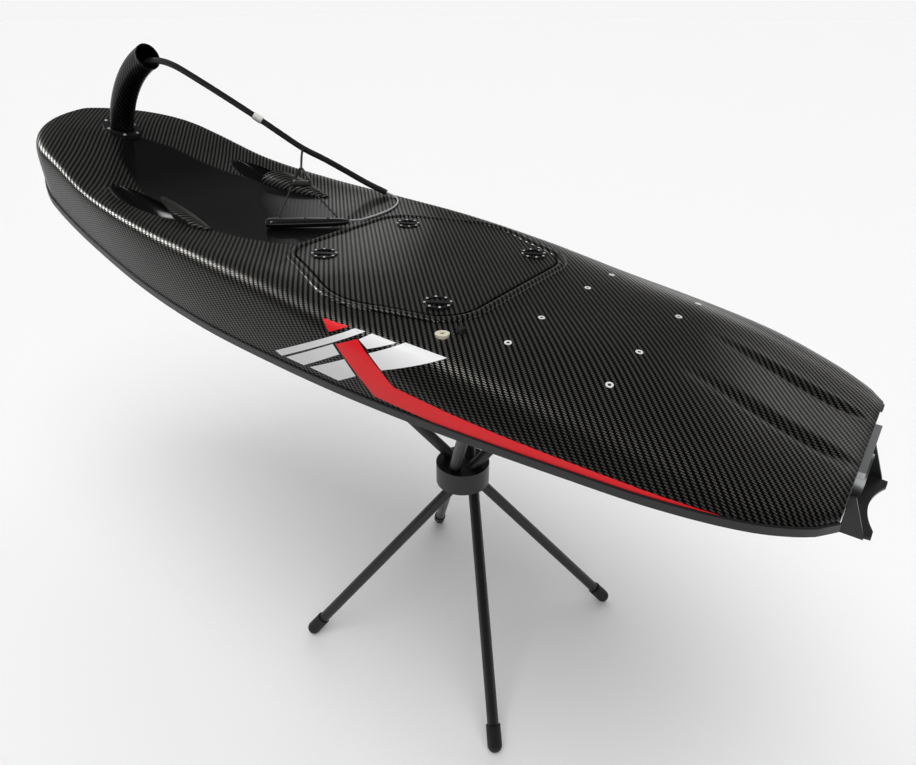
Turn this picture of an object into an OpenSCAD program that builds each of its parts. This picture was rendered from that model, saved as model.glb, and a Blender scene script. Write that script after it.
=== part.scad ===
// Motorized surfboard (petrol jet board) parked on a folding four-tube stand.
// X runs to the nose, Y to port, Z up. The origin is on the floor under the middle of the whole part.

/* [Board] */
// Length from the transom to the tip of the nose
board_len = 1810; // [1700:5:1950]
// Greatest width, at the lower edge of the sides
board_beam = 600; // [560:5:660]
// Height of the deck above the lowest line of the hull, measured behind the hatch
hull_depth = 193; // [180:1:215]
// Height of the lowest line of the hull above the floor
board_z = 652; // [600:1:720]
// Length over which the plan rounds off to the tip of the nose
nose_round = 175; // [150:5:210]
// Roundness of the shoulder between deck and sides
shoulder = 12; // [4:1:20]
// Distance of the two tail grooves from the centre line
groove_y = 65; // [50:1:80]
// Depth of the tail grooves
groove_depth = 9; // [4:0.5:12]
// Half the width of a tail groove
groove_w = 10; // [8:1:20]
// Height of the edge band that covers the joint of hull and deck
band_h = 14; // [10:1:20]
// Thickness of the edge band
band_t = 3; // [2:0.5:5]

/* [Engine bay] */
// Distance from the transom to the rear wall of the bay
bay_from = 585; // [570:1:600]
// Length of the bay
bay_len = 320; // [300:1:330]
// Width of the bay
bay_w = 280; // [260:1:300]
// Height of the bay floor above the lowest line of the hull
bay_floor = 42; // [38:1:50]
// Corner radius of the bay
bay_r = 30; // [20:1:40]
// Length of the engine block
engine_len = 260; // [240:1:280]
// Width of the engine block
engine_w = 220; // [200:1:240]
// Height of the engine block
engine_h = 105; // [90:1:115]

/* [Hatch] */
// Distance from the transom to the rear edge of the hatch
hatch_from = 553; // [545:1:560]
// Length of the hatch
hatch_len = 392; // [380:1:400]
// Greatest width of the hatch
hatch_w = 450; // [430:2:460]
// Thickness of the hatch over its seat
hatch_t = 14; // [10:1:18]
// How far the hatch stands proud of the deck around it
hatch_proud = 1.5; // [0:0.5:4]
// Gap round the hatch
hatch_gap = 3; // [2:0.5:6]
// Radius of a latch flange
latch_r = 23; // [20:1:26]
// Distance from the transom to the front pair of latches
latch_front = 884; // [876:1:890]
// Distance from the transom to the rear pair of latches
latch_rear = 608; // [600:1:620]
// Distance of the front latches from the centre line
latch_front_y = 117; // [105:1:125]
// Distance of the rear latches from the centre line
latch_rear_y = 147; // [135:1:155]

/* [Snorkel] */
// Distance from the tip of the nose back to the middle of the snorkel's foot
snorkel_back = 146; // [130:1:160]
// Bend radius of the snorkel tube
snorkel_bend = 270; // [240:1:290]
// Angle through which the snorkel tube bends
snorkel_turn = 50; // [42:1:58]
// Outer radius of the snorkel tube
snorkel_r = 27; // [25:0.5:32]
// Wall of the snorkel tube
snorkel_wall = 3; // [2:0.5:5]
// Thickness of the flange under the snorkel
flange_t = 6; // [5:0.5:10]
// How far the flange stands out round the tube
flange_lip = 10; // [8:1:16]

/* [Deck fittings] */
// Distance from the transom to the rear row of strap inserts
insert_from = 301; // [290:1:310]
// Distance between the two rows of inserts
insert_pitch = 160; // [150:1:170]
// Distance of the outer inserts from the centre line
insert_outer = 174; // [165:1:176]
// Distance of the inner inserts from the centre line
insert_inner = 78; // [70:1:86]
// Outer radius of an insert
insert_r = 6; // [5:0.5:8]
// Radius of the threaded hole in an insert
insert_hole = 3; // [2.5:0.5:4]
// Depth of the threaded hole
insert_depth = 18; // [14:1:22]
// Radius of the filler plug
plug_r = 11; // [9:0.5:14]
// Distance from the transom to the filler plug
plug_from = 549; // [540:1:552]
// Distance of the filler plug from the centre line, to port
plug_y = 214; // [205:1:218]
// Radius of the vent cap
vent_r = 7; // [5:0.5:9]
// Distance from the transom to the vent cap
vent_from = 532; // [520:1:536]
// Distance of the vent cap from the centre line, to port
vent_y = 192; // [186:1:196]

/* [Jet pump] */
// Height of the pump's axis above the lowest line of the hull
pump_z = 38; // [37:0.5:40]
// Radius of the pump duct
duct_r = 33; // [31:0.5:33]
// Distance from the transom to the front end of the duct
duct_len = 330; // [320:1:340]
// Radius of the impeller over its blades
impeller_r = 28; // [24:0.5:28]
// Radius of the impeller's hub
impeller_hub = 11; // [10:0.5:13]
// Length of the impeller
impeller_len = 46; // [40:1:55]
// Distance from the transom to the rear face of the impeller
impeller_from = 90; // [85:1:110]
// Radius of the drive shaft
shaft_r = 6; // [5:0.5:7]
// Radial clearance of the drive shaft in its bearings
shaft_clear = 0.05; // [0.02:0.01:0.09]
// Length of the water intake in the bottom
intake_len = 150; // [130:1:170]
// Width of the water intake
intake_w = 84; // [76:1:90]
// How far the stern cowl reaches behind the transom
cowl_reach = 38; // [30:1:50]
// Width of the stern cowl
cowl_w = 160; // [140:1:180]

/* [Stand] */
// Distance between front and rear feet, at the tube axes
foot_x = 486; // [440:2:520]
// Distance between port and starboard feet, at the tube axes
foot_y = 468; // [420:2:500]
// Distance from the transom to the middle of the stand
stand_from = 663; // [640:1:690]
// Height of the crossing above the floor
hub_z = 414; // [390:1:430]
// Outer radius of a stand tube
tube_r = 11; // [9:0.5:12]
// How far each tube axis passes from the middle of the hub
tube_offset = 19; // [18.6:0.2:22]
// Radius of the hub
hub_r = 54; // [52:1:58]
// Height of the hub
hub_h = 46; // [40:1:48]
// Radius of the rubber caps on the tube ends
cap_r = 14; // [13.5:0.5:16]
// Length of a rubber cap along its tube
cap_len = 36; // [28:1:44]

/* [Hidden] */
$fn = 48;
// Radial play between pieces that slide over or into each other
play = 0.2;
// Gap left where two surfaces only rest on each other
rest_gap = 0.3;

// Lines of the hull at the drawn size, one row per station
// [from the transom, half width of the lower edge, its height, half width of the deck edge,
//  height of the deck edge, height of the deck on the centre line, height of the keel]
stations = [
    [0, 168, 56, 150, 76, 83, 4],
    [25, 203, 60, 160, 84, 91, 2],
    [85, 243, 66, 174, 100, 108, 0],
    [185, 272, 71, 186, 128, 140, 0],
    [305, 286, 74, 206, 146, 167, 2],
    [465, 297, 76, 232, 162, 179, 4],
    [655, 300, 77, 270, 181, 193, 8],
    [835, 294, 80, 270, 206, 205, 14],
    [1035, 284, 90, 266, 222, 208, 30],
    [1235, 264, 110, 256, 238, 219, 60],
    [1435, 238, 146, 238, 266, 245, 106],
    [1585, 218, 186, 214, 310, 301, 156],
    [1685, 203, 228, 199, 336, 343, 204],
    [1810, 186, 303, 182, 368, 372, 288]];
BEAM = 1;
CHINE = 2;
EDGE = 3;
EDGE_Z = 4;
DECK_Z = 5;
KEEL = 6;
drawn_len = 1810;
drawn_half_beam = 300;
drawn_depth = 193;

// The nose ends in a narrow flat, where its rounding has turned this far, and the band goes round it
nose_turn = 86.5;
total_len = cowl_reach + board_len - nose_round * (1 - sin(nose_turn)) + rest_gap + band_t;
transom_x = cowl_reach - total_len / 2;
scale_x = board_len / drawn_len;
scale_y = board_beam / 2 / drawn_half_beam;
scale_z = hull_depth / drawn_depth;

// Smooth reading of one column of the table at the distance u from the transom
function row_of(u, i = 0) = i >= len(stations) - 2 || u < stations[i + 1][0] ? i : row_of(u, i + 1);
function slope_at(i, c) =
    let (a = max(i - 1, 0), b = min(i + 1, len(stations) - 1))
    (stations[b][c] - stations[a][c]) / (stations[b][0] - stations[a][0]);
function line_at(u, c) =
    let (i = row_of(u), h = stations[i + 1][0] - stations[i][0], t = (u - stations[i][0]) / h)
    stations[i][c] * (1 + 2 * t) * (1 - t) * (1 - t) + stations[i + 1][c] * t * t * (3 - 2 * t)
    + h * slope_at(i, c) * t * (1 - t) * (1 - t) - h * slope_at(i + 1, c) * t * t * (1 - t);

// Width left by the rounding of the nose, and the hull's lines at a real place x
function nose_share(x) =
    let (t = max(0, x - transom_x - board_len + nose_round) / nose_round) sqrt(max(0, 1 - t * t));
function width_at(x, c) = nose_share(x) * scale_y * line_at((x - transom_x) / scale_x, c);
function height_at(x, c) = board_z + scale_z * line_at((x - transom_x) / scale_x, c);
function smooth(t) = let (s = min(1, max(0, t))) s * s * (3 - 2 * s);

// Height of the deck at a place, with its crown, front well and tail grooves
groove_end = transom_x + 260;
groove_full = transom_x + 120;
groove_fade = 60;
function groove_at(x, y) =
    groove_depth * smooth((groove_end - x) / (groove_end - groove_full))
    * smooth((x - transom_x) / groove_fade) * exp(-pow((abs(y) - groove_y) / groove_w, 2));
function deck_at(x, y) =
    let (e = width_at(x, EDGE), s = min(1, abs(y) / e), z = height_at(x, EDGE_Z))
    z + (height_at(x, DECK_Z) - z) * (1 - pow(s, 4)) - groove_at(x, y);
function bottom_at(x, y) =
    let (k = height_at(x, KEEL), s = min(1, abs(y) / width_at(x, BEAM)))
    k + (height_at(x, CHINE) - k) * pow(s, 1.6);

// Places along the board at which its sections are drawn
body_steps = 38;
nose_steps = 12;
nose_start = transom_x + board_len - nose_round;
section_x = concat(
    [for (i = [0:body_steps - 1]) transom_x + (nose_start - transom_x) * i / body_steps],
    [for (i = [0:nose_steps]) nose_start + nose_round * sin(nose_turn * i / nose_steps)]);
// Shares of the deck's half width, closer together near the grooves and the edge
deck_shares = [0, 0.1, 0.2, 0.27, 0.32, 0.36, 0.4, 0.45, 0.52, 0.62, 0.72, 0.82, 0.9, 0.96, 1];
side_steps = 7;
bottom_shares = [0, 0.15, 0.3, 0.45, 0.6, 0.75, 0.88];

function bezier(a, b, c, d, t) =
    a * pow(1 - t, 3) + 3 * b * t * pow(1 - t, 2) + 3 * c * t * t * (1 - t) + d * t * t * t;
// Port side of a section from the deck edge down to the lower edge
function side_curve(x, gap) =
    let (e = width_at(x, EDGE), b = width_at(x, BEAM), ze = height_at(x, EDGE_Z),
         zc = height_at(x, CHINE) + gap, h = ze - zc)
    [for (i = [1:side_steps])
        bezier([e, ze], [e + 0.5 * (b - e) + shoulder * nose_share(x), ze - 0.08 * h],
               [b, zc + 0.45 * h], [b, zc], i / side_steps)];
function deck_half(x) = [for (s = deck_shares) let (y = s * width_at(x, EDGE)) [y, deck_at(x, y)]];
function mirrored(p) = [for (i = [len(p) - 1:-1:0]) [-p[i][0], p[i][1]]];
function tail_of(p) = [for (i = [1:len(p) - 1]) p[i]];
// Closed sections, each going up on the port side: the deck's from starboard, the hull's from the keel
function deck_section(x) =
    let (half = concat(deck_half(x), side_curve(x, rest_gap / 2)))
    concat([for (i = [len(half) - 1:-1:0]) half[i]], [for (p = tail_of(half)) [-p[0], p[1]]]);
function hull_section(x) =
    let (b = width_at(x, BEAM), zc = height_at(x, CHINE) - rest_gap / 2,
         low = [for (s = bottom_shares) [s * b, min(bottom_at(x, s * b), zc - 0.5)]],
         half = concat(low, [[b, zc]]))
    concat(half, mirrored(tail_of(half)));

function total(p, i = 0) = i == len(p) - 1 ? p[i] : p[i] + total(p, i + 1);
function middle(ring) = total(ring) / len(ring);
// Solid through closed rings of points that all have the same number of points
module sweep(rings) {
    n = len(rings[0]);
    m = len(rings);
    sides = [for (i = [0:m - 2]) for (j = [0:n - 1])
        let (a = i * n + j, b = i * n + (j + 1) % n) each [[a, a + n, b + n], [a, b + n, b]]];
    last = (m - 1) * n;
    ends = [for (j = [0:n - 1]) let (k = (j + 1) % n) each [[j, k, m * n], [last + k, last + j, m * n + 1]]];
    points = concat([for (r = rings) each r], [middle(rings[0]), middle(rings[m - 1])]);
    polyhedron(points, concat(sides, ends));
}
// Solid through sections across the board, each a list of [y, z]
module skin(places, sections) {
    sweep([for (i = [0:len(places) - 1]) [for (p = sections[i]) [places[i], p[0], p[1]]]]);
}

// Outline of the hatch in plan: half width at a place, grown by an offset
hatch_x0 = transom_x + hatch_from;
hatch_mid_r = 120;
hatch_mid_share = 0.47;
hatch_front_r = 55;
hatch_rear_r = 75;
hatch_front_half = 158;
hatch_rear_half = 190;
// Three arcs a side: [centre x, centre y, radius]
hatch_arcs = [
    [hatch_x0 + hatch_rear_r, hatch_rear_half - hatch_rear_r, hatch_rear_r],
    [hatch_x0 + hatch_len * hatch_mid_share, hatch_w / 2 - hatch_mid_r, hatch_mid_r],
    [hatch_x0 + hatch_len - hatch_front_r, hatch_front_half - hatch_front_r, hatch_front_r]];
// Outer tangent of two arcs as its angle from the Y axis
function tangent(a, b) =
    let (dx = b[0] - a[0], dy = b[1] - a[1], d = norm([dx, dy])) atan2(-dy, dx) + asin((b[2] - a[2]) / d);
function arc_point(a, grow, angle) = [a[0] + (a[2] + grow) * sin(angle), a[1] + (a[2] + grow) * cos(angle)];
hatch_turns = [
    [-90, -tangent(hatch_arcs[0], hatch_arcs[1])],
    [-tangent(hatch_arcs[0], hatch_arcs[1]), -tangent(hatch_arcs[1], hatch_arcs[2])],
    [-tangent(hatch_arcs[1], hatch_arcs[2]), 90]];
arc_steps = 7;
function hatch_outline(grow) =
    let (port = [for (k = [0:2]) for (i = [0:arc_steps])
        let (a = hatch_turns[k][0], b = hatch_turns[k][1])
        arc_point(hatch_arcs[k], grow, a + (b - a) * i / arc_steps)])
    concat(port, [for (i = [len(port) - 1:-1:0]) [port[i][0], -port[i][1]]]);

// Frame of the hatch: its middle on the deck, tilted with the deck
hatch_mid = hatch_x0 + hatch_len / 2;
hatch_slope = atan2(deck_at(hatch_x0 + hatch_len, 0) - deck_at(hatch_x0, 0), hatch_len);
hatch_mid_z = (deck_at(hatch_x0 + hatch_len, 0) + deck_at(hatch_x0, 0)) / 2;
module in_hatch_frame() {
    translate([hatch_mid, 0, hatch_mid_z]) rotate([0, -hatch_slope, 0])
        translate([-hatch_mid, 0, 0]) children();
}
module hatch_prism(grow, low, high) {
    in_hatch_frame() translate([0, 0, low]) linear_extrude(high - low) polygon(hatch_outline(grow));
}
// Latch places: [from the transom, y]
latches = [[latch_front, latch_front_y], [latch_front, -latch_front_y],
           [latch_rear, latch_rear_y], [latch_rear, -latch_rear_y]];
module at_latch(i) {
    x = transom_x + latches[i][0];
    y = latches[i][1];
    translate([x, y, deck_at(x, y) + hatch_proud]) rotate([0, -hatch_slope, 0]) children();
}

// Insert places in a row at the distance u from the transom
insert_ys = [-insert_outer, -insert_inner, insert_inner, insert_outer];
insert_rows = [insert_from + insert_pitch, insert_from];
module at_insert(u, y) {
    translate([transom_x + u, y, deck_at(transom_x + u, y)]) children();
}
plug_x = transom_x + plug_from;
plug_out = plug_y * scale_y;
vent_x = transom_x + vent_from;
vent_out = vent_y * scale_y;
fitting_depth = 16;
plug_rise = 2;
vent_rise = 6;
// Frame of a round fitting at the bottom of its pocket in the deck
module at_fitting(x, y) {
    translate([x, y, deck_at(x, y) - fitting_depth]) children();
}
// Height of cutters that come out above the deck
clear_h = 80;

// Frame of the snorkel's foot, square to the sloping deck
snorkel_x = transom_x + board_len - snorkel_back;
snorkel_slope = atan2(deck_at(snorkel_x + 30, 0) - deck_at(snorkel_x - 30, 0), 60);
flange_sink = 6;
flange_long = 16;
module in_snorkel_frame() {
    translate([snorkel_x, 0, deck_at(snorkel_x, 0)]) rotate([0, -snorkel_slope, 0]) children();
}
module stadium(r, long) {
    translate([-long / 2, 0]) circle(r);
    translate([long / 2, 0]) circle(r);
    square([long, 2 * r], center = true);
}

// Jet pump axis, running forward from the transom
module on_pump_axis(from) {
    translate([transom_x + from, 0, board_z + pump_z]) rotate([0, 90, 0]) children();
}
intake_from = duct_len - 30;
corner_steps = 6;
module rounded_plan(l, w, r) {
    polygon([for (k = [0:3]) for (i = [0:corner_steps])
        let (a = 90 * (k + i / corner_steps), x = k == 0 || k == 3 ? l - r : r,
             y = k < 2 ? w / 2 - r : r - w / 2)
        [x + r * cos(a), y + r * sin(a)]]);
}
bay_top = 400;
module bay_space() {
    translate([transom_x + bay_from, 0, board_z + bay_floor])
        linear_extrude(bay_top) rounded_plan(bay_len, bay_w, bay_r);
}
module duct_space() {
    on_pump_axis(-1) cylinder(r = duct_r, h = duct_len + 1);
}
intake_r = 20;
module intake_space() {
    translate([transom_x + intake_from, 0, board_z - 20])
        linear_extrude(pump_z + 20 + 0.6 * duct_r) rounded_plan(intake_len, intake_w, intake_r);
}
engine_from = bay_from + (bay_len - engine_len) / 2;
module shaft_bore() {
    on_pump_axis(duct_len) cylinder(r = shaft_r + shaft_clear, h = engine_from - duct_len);
}

module hull_shell() {
    color("#17181a") difference() {
        skin(section_x, [for (x = section_x) hull_section(x)]);
        bay_space();
        duct_space();
        intake_space();
        shaft_bore();
    }
}

module deck_shell() {
    color("#1c1d20") difference() {
        skin(section_x, [for (x = section_x) deck_section(x)]);
        hatch_prism(hatch_gap, -hatch_t, clear_h);
        bay_space();
        duct_space();
        for (u = insert_rows, y = insert_ys)
            at_insert(u, y) translate([0, 0, -insert_depth]) cylinder(r = insert_r + play, h = clear_h);
        at_fitting(plug_x, plug_out) cylinder(r = plug_r + play, h = clear_h);
        at_fitting(vent_x, vent_out) cylinder(r = vent_r + play, h = clear_h);
        in_snorkel_frame() translate([0, 0, -flange_sink])
            linear_extrude(clear_h) stadium(snorkel_r + flange_lip + play, flange_long);
        for (side = [-1, 1]) scoop_ramp(side);
    }
}

// Outer line of the lower edge, port from the transom to the nose and back along starboard
edge_line = let (port = [for (x = section_x) [x, width_at(x, BEAM), height_at(x, CHINE)]])
    concat(port, [for (i = [len(port) - 1:-1:0]) [port[i][0], -port[i][1], port[i][2]]]);
band_drop = 4;
function edge_normal(i) =
    let (a = edge_line[max(i - 1, 0)], b = edge_line[min(i + 1, len(edge_line) - 1)],
         d = norm([b[0] - a[0], b[1] - a[1]]))
    [-(b[1] - a[1]) / d, (b[0] - a[0]) / d, 0];
module edge_band() {
    color("#0d0d0e") sweep([for (i = [0:len(edge_line) - 1])
        let (p = edge_line[i], n = edge_normal(i), a = p + n * rest_gap, b = p + n * (rest_gap + band_t),
             low = [0, 0, -band_drop], high = [0, 0, band_h - band_drop])
        [a + low, b + low, b + high, a + high]]);
}

module engine_block() {
    color("#55585c") translate([transom_x + engine_from, -engine_w / 2, board_z + bay_floor])
        cube([engine_len, engine_w, engine_h]);
}

hatch_section_x = [for (x = section_x) if (x > hatch_x0 - 60 && x < hatch_x0 + hatch_len + 60) x];
module hatch_cover() {
    color("#1c1d20") difference() {
        intersection() {
            translate([0, 0, hatch_proud]) skin(hatch_section_x, [for (x = hatch_section_x) deck_section(x)]);
            hatch_prism(0, rest_gap - hatch_t, clear_h);
        }
        for (i = [0:3]) at_latch(i) cylinder(r = latch_r + play, h = clear_h, center = true);
    }
}

latch_rise = 3;
latch_dish = 5;
latch_rim = 4;
module hatch_latch(i) {
    color("#0b0b0c") at_latch(i) {
        difference() {
            translate([0, 0, -hatch_t + 6]) cylinder(r = latch_r, h = hatch_t - 6 + latch_rise);
            translate([0, 0, latch_rise - latch_dish]) cylinder(r = latch_r - latch_rim, h = latch_dish + 1);
        }
        translate([0, 0, latch_rise - latch_dish / 2 - 1]) rotate([0, 0, 35])
            cube([2 * (latch_r - latch_rim) - 1, 9, latch_dish + 2], center = true);
    }
}

module snorkel_tube() {
    color("#1c1d20") in_snorkel_frame() {
        difference() {
            translate([0, 0, rest_gap - flange_sink])
                cylinder(r = snorkel_r, h = flange_t + flange_sink - rest_gap);
            translate([0, 0, -flange_sink - 1])
                cylinder(r = snorkel_r - snorkel_wall, h = flange_t + flange_sink + 2);
        }
        translate([-snorkel_bend, 0, flange_t]) rotate([90, 0, 0]) rotate_extrude(angle = snorkel_turn)
            translate([snorkel_bend, 0]) difference() {
                circle(snorkel_r);
                circle(snorkel_r - snorkel_wall);
            }
    }
}

module snorkel_flange() {
    color("#0b0b0c") in_snorkel_frame() difference() {
        translate([0, 0, rest_gap - flange_sink]) linear_extrude(flange_t + flange_sink - rest_gap)
            stadium(snorkel_r + flange_lip, flange_long);
        translate([0, 0, -flange_sink - 1]) cylinder(r = snorkel_r + play, h = flange_t + flange_sink + 2);
    }
}

// Scoop hoods beside the front well: rows of [from the transom, half width, height]
scoop_y = 158;
scoop_rows = [[1150, 3, 2], [1180, 14, 8], [1215, 22, 15], [1250, 28, 21], [1290, 32, 26], [1330, 34, 29]];
scoop_lift = 0.8;
scoop_wall = 3;
// Hollow of a hood, open to the front, and the ramp that leads into it: the last column goes up or down
hollow_rows = [[1240, 8, 4], [1265, 20, 13], [1295, 27, 21], [1331, 31, 26]];
ramp_rows = [[1300, 14, 10], [1335, 28, 28], [1370, 31, 27], [1410, 29, 18], [1440, 22, 8], [1462, 10, 0]];
// Least height of an arch above its foot
arch_rise = 0.5;
function arch(x, y, w, h, foot) =
    concat([for (k = [0:6]) let (v = y + w * (k / 3 - 1)) [v, deck_at(x, v) + foot]],
           [for (a = [30:30:150]) let (v = y + w * cos(a)) [v, deck_at(x, v) + foot + arch_rise + h * sin(a)]]);
function trough(x, y, w, h) =
    concat([for (a = [180:30:360]) let (v = y + w * cos(a)) [v, deck_at(x, v) + min(0, h * sin(a))]],
           [[y + w, deck_at(x, y + w) + clear_h], [y - w, deck_at(x, y - w) + clear_h]]);
module scoop(side) {
    color("#141517") difference() {
        skin([for (r = scoop_rows) transom_x + r[0]],
             [for (r = scoop_rows) arch(transom_x + r[0], side * scoop_y, r[1], r[2], scoop_lift)]);
        skin([for (r = hollow_rows) transom_x + r[0]],
             [for (r = hollow_rows)
                 arch(transom_x + r[0], side * scoop_y, r[1], r[2], scoop_lift - scoop_wall)]);
    }
}
module scoop_ramp(side) {
    skin([for (r = ramp_rows) transom_x + r[0]],
         [for (r = ramp_rows) trough(transom_x + r[0], side * scoop_y, r[1], r[2])]);
}

insert_bottom = 2;
module deck_insert_row(u) {
    color("#e8e6df") for (y = insert_ys) at_insert(u, y) translate([0, 0, rest_gap - insert_depth])
        difference() {
            cylinder(r = insert_r, h = insert_depth);
            translate([0, 0, insert_bottom]) cylinder(r = insert_hole, h = insert_depth);
        }
}
// The plug has a hexagonal key hole, a share of its size
plug_key = 0.4;
module filler_plug() {
    color("#d8d4c4") at_fitting(plug_x, plug_out) translate([0, 0, rest_gap]) difference() {
        cylinder(r = plug_r, h = fitting_depth + plug_rise);
        translate([0, 0, fitting_depth]) cylinder(r = plug_key * plug_r, h = fitting_depth, $fn = 6);
    }
}
module vent_cap() {
    color("#0b0b0c") at_fitting(vent_x, vent_out) translate([0, 0, rest_gap])
        cylinder(r = vent_r, h = fitting_depth + vent_rise);
}

grate_t = 5;
grate_bars = 5;
grate_bar_w = 5;
grate_rim = 10;
grate_step = (intake_w - 16) / (grate_bars + 1);
grate_z = board_z + 6;
module intake_grate() {
    color("#8a8d90") translate([transom_x + intake_from + play, 0, grate_z]) linear_extrude(grate_t) {
        difference() {
            rounded_plan(intake_len - 2 * play, intake_w - 2 * play, intake_r);
            translate([grate_rim, 0])
                rounded_plan(intake_len - 2 * grate_rim - 2 * play, intake_w - 2 * grate_rim, intake_r - 8);
        }
        for (i = [1:grate_bars])
            translate([grate_rim / 2, (i - (grate_bars + 1) / 2) * grate_step - grate_bar_w / 2])
                square([intake_len - grate_rim - 2 * play, grate_bar_w]);
    }
}

blades = 4;
blade_t = 3;
blade_twist = 75;
blade_taper = 0.6;
blade_steps = 10;
blade_root = impeller_hub - 2;
stator_len = 40;
shaft_end = 30;
module impeller() {
    color("#c8cacc") {
        on_pump_axis(shaft_end) cylinder(r = shaft_r, h = engine_from - shaft_end - rest_gap);
        on_pump_axis(impeller_from) {
            cylinder(r = impeller_hub, h = impeller_len);
            for (i = [0:blades - 1]) rotate([0, 0, i * 360 / blades]) sweep([for (k = [0:blade_steps])
                let (z = impeller_len * (0.04 + 0.92 * k / blade_steps), a = blade_twist * k / blade_steps,
                     c = [cos(a), sin(a), 0], n = [-sin(a), cos(a), 0] * blade_t / 2, up = [0, 0, z],
                     root = up + c * blade_root, tip = up + c * impeller_r)
                [root - n, tip - n * blade_taper, tip + n * blade_taper, root + n]]);
        }
    }
}

// Nozzle: outer ring, vanes and a hub that carries the rear end of the shaft
nozzle_reach = 12;
nozzle_wall = 3;
nozzle_exit_r = 27;
stator_hub = 10;
stator_from = 8;
vanes = 5;
vane_t = 3;
vane_w = duct_r - nozzle_wall - stator_hub + 3.5;
module pump_nozzle() {
    color("#c8cacc") {
        difference() {
            union() {
                on_pump_axis(0) cylinder(r = duct_r - play, h = stator_len);
                on_pump_axis(-nozzle_reach)
                    cylinder(r1 = nozzle_exit_r + nozzle_wall, r2 = duct_r - play, h = nozzle_reach);
            }
            on_pump_axis(0) cylinder(r = duct_r - play - nozzle_wall, h = stator_len + 1);
            on_pump_axis(-nozzle_reach - 0.01)
                cylinder(r1 = nozzle_exit_r, r2 = duct_r - play - nozzle_wall, h = nozzle_reach + 0.02);
        }
        difference() {
            union() {
                on_pump_axis(stator_from) cylinder(r = stator_hub, h = stator_len - stator_from);
                for (i = [0:vanes - 1]) on_pump_axis(stator_from + 2) rotate([0, 0, (i + 0.5) * 360 / vanes])
                    translate([stator_hub - 2, -vane_t / 2, 0]) cube([vane_w, vane_t, stator_len - 14]);
            }
            on_pump_axis(shaft_end - 1) cylinder(r = shaft_r + shaft_clear, h = stator_len);
        }
    }
}

// Stern cowl: floor plate with a fishtail edge and two cheeks
cowl_floor = board_z - 10;
cowl_t = 4;
cowl_h = 58;
cowl_tip = 75;
cowl_arc_r = 130;
cowl_bite = 14;
cowl_nose = 8;
module stern_cowl() {
    color("#1a1b1d") {
        translate([0, 0, cowl_floor]) linear_extrude(cowl_t) difference() {
            polygon([[transom_x - rest_gap, cowl_w / 2], [transom_x - cowl_reach, cowl_tip],
                     [transom_x - cowl_reach, -cowl_tip], [transom_x - rest_gap, -cowl_w / 2]]);
            translate([transom_x - cowl_reach - cowl_arc_r + cowl_bite, 0]) circle(cowl_arc_r);
        }
        for (side = [-1, 1])
            translate([transom_x, (side * (cowl_w - cowl_t) + cowl_t) / 2, cowl_floor]) rotate([90, 0, 0])
                linear_extrude(cowl_t) polygon([[-rest_gap, 0], [-rest_gap, cowl_h], [-cowl_nose, cowl_h],
                    [cowl_nose - cowl_reach, cowl_t], [cowl_nose - cowl_reach, 0]]);
    }
}
// Bright strip across the transom, above the nozzle
strip_w = 140;
strip_h = 8;
strip_t = 9;
strip_z = board_z + pump_z + duct_r + 2;
module transom_strip() {
    color("#b8babc") translate([transom_x - rest_gap - strip_t, -strip_w / 2, strip_z])
        cube([strip_t, strip_w, strip_h]);
}

// Stand: feet round the middle of the stand, [side along X, side along Y]
stand_x = transom_x + stand_from;
feet = [[1, 1], [-1, 1], [-1, -1], [1, -1]];
// Each tube passes beside the hub's middle, all on the same hand
function foot_point(i) = [stand_x + feet[i][0] * foot_x / 2, feet[i][1] * foot_y / 2, cap_r];
function hub_point(i) =
    let (d = [feet[i][0] * foot_x, feet[i][1] * foot_y], n = [-d[1], d[0]] / norm(d))
    [stand_x + n[0] * tube_offset, n[1] * tube_offset, hub_z];
function along(i, z) = let (a = foot_point(i), b = hub_point(i)) a + (b - a) * (z - a[2]) / (b[2] - a[2]);
// The upper end lies just under the hull, found by a few repeated readings of its bottom
cap_slant = 1.04;
function top_z(i, z, n) =
    n == 0 ? z : let (p = along(i, z)) top_z(i, bottom_at(p[0], p[1]) - cap_r * cap_slant - rest_gap, n - 1);
function top_point(i) = along(i, top_z(i, board_z, 12));
module between(a, b) {
    d = b - a;
    translate(a) rotate([0, acos(d[2] / norm(d)), atan2(d[1], d[0])]) children();
}
cap_cover = 4;
module stand_tube(i) {
    a = foot_point(i);
    b = top_point(i);
    color("#101113") between(a, b) translate([0, 0, cap_cover])
        cylinder(r = tube_r, h = norm(b - a) - 2 * cap_cover);
}
module tube_cap(a, b) {
    color("#0a0a0b") between(a, b) difference() {
        union() {
            sphere(cap_r);
            cylinder(r = cap_r, h = cap_len);
        }
        translate([0, 0, cap_cover]) cylinder(r = tube_r + play / 2, h = cap_len);
    }
}
module foot_cap(i) {
    tube_cap(foot_point(i), top_point(i));
}
module top_cap(i) {
    tube_cap(top_point(i), foot_point(i));
}
// The tubes run through holes with flats, a little past the hub's faces
hole_sides = 12;
hole_r = (tube_r + play / 2) / cos(180 / hole_sides);
hub_reach = hub_h / 2 + 8;
module stand_hub() {
    color("#0c0c0d") difference() {
        translate([stand_x, 0, hub_z - hub_h / 2]) cylinder(r = hub_r, h = hub_h);
        for (i = [0:3]) {
            low = along(i, hub_z - hub_reach);
            high = along(i, hub_z + hub_reach);
            between(low, high) cylinder(r = hole_r, h = norm(high - low), $fn = hole_sides);
        }
    }
}

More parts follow.
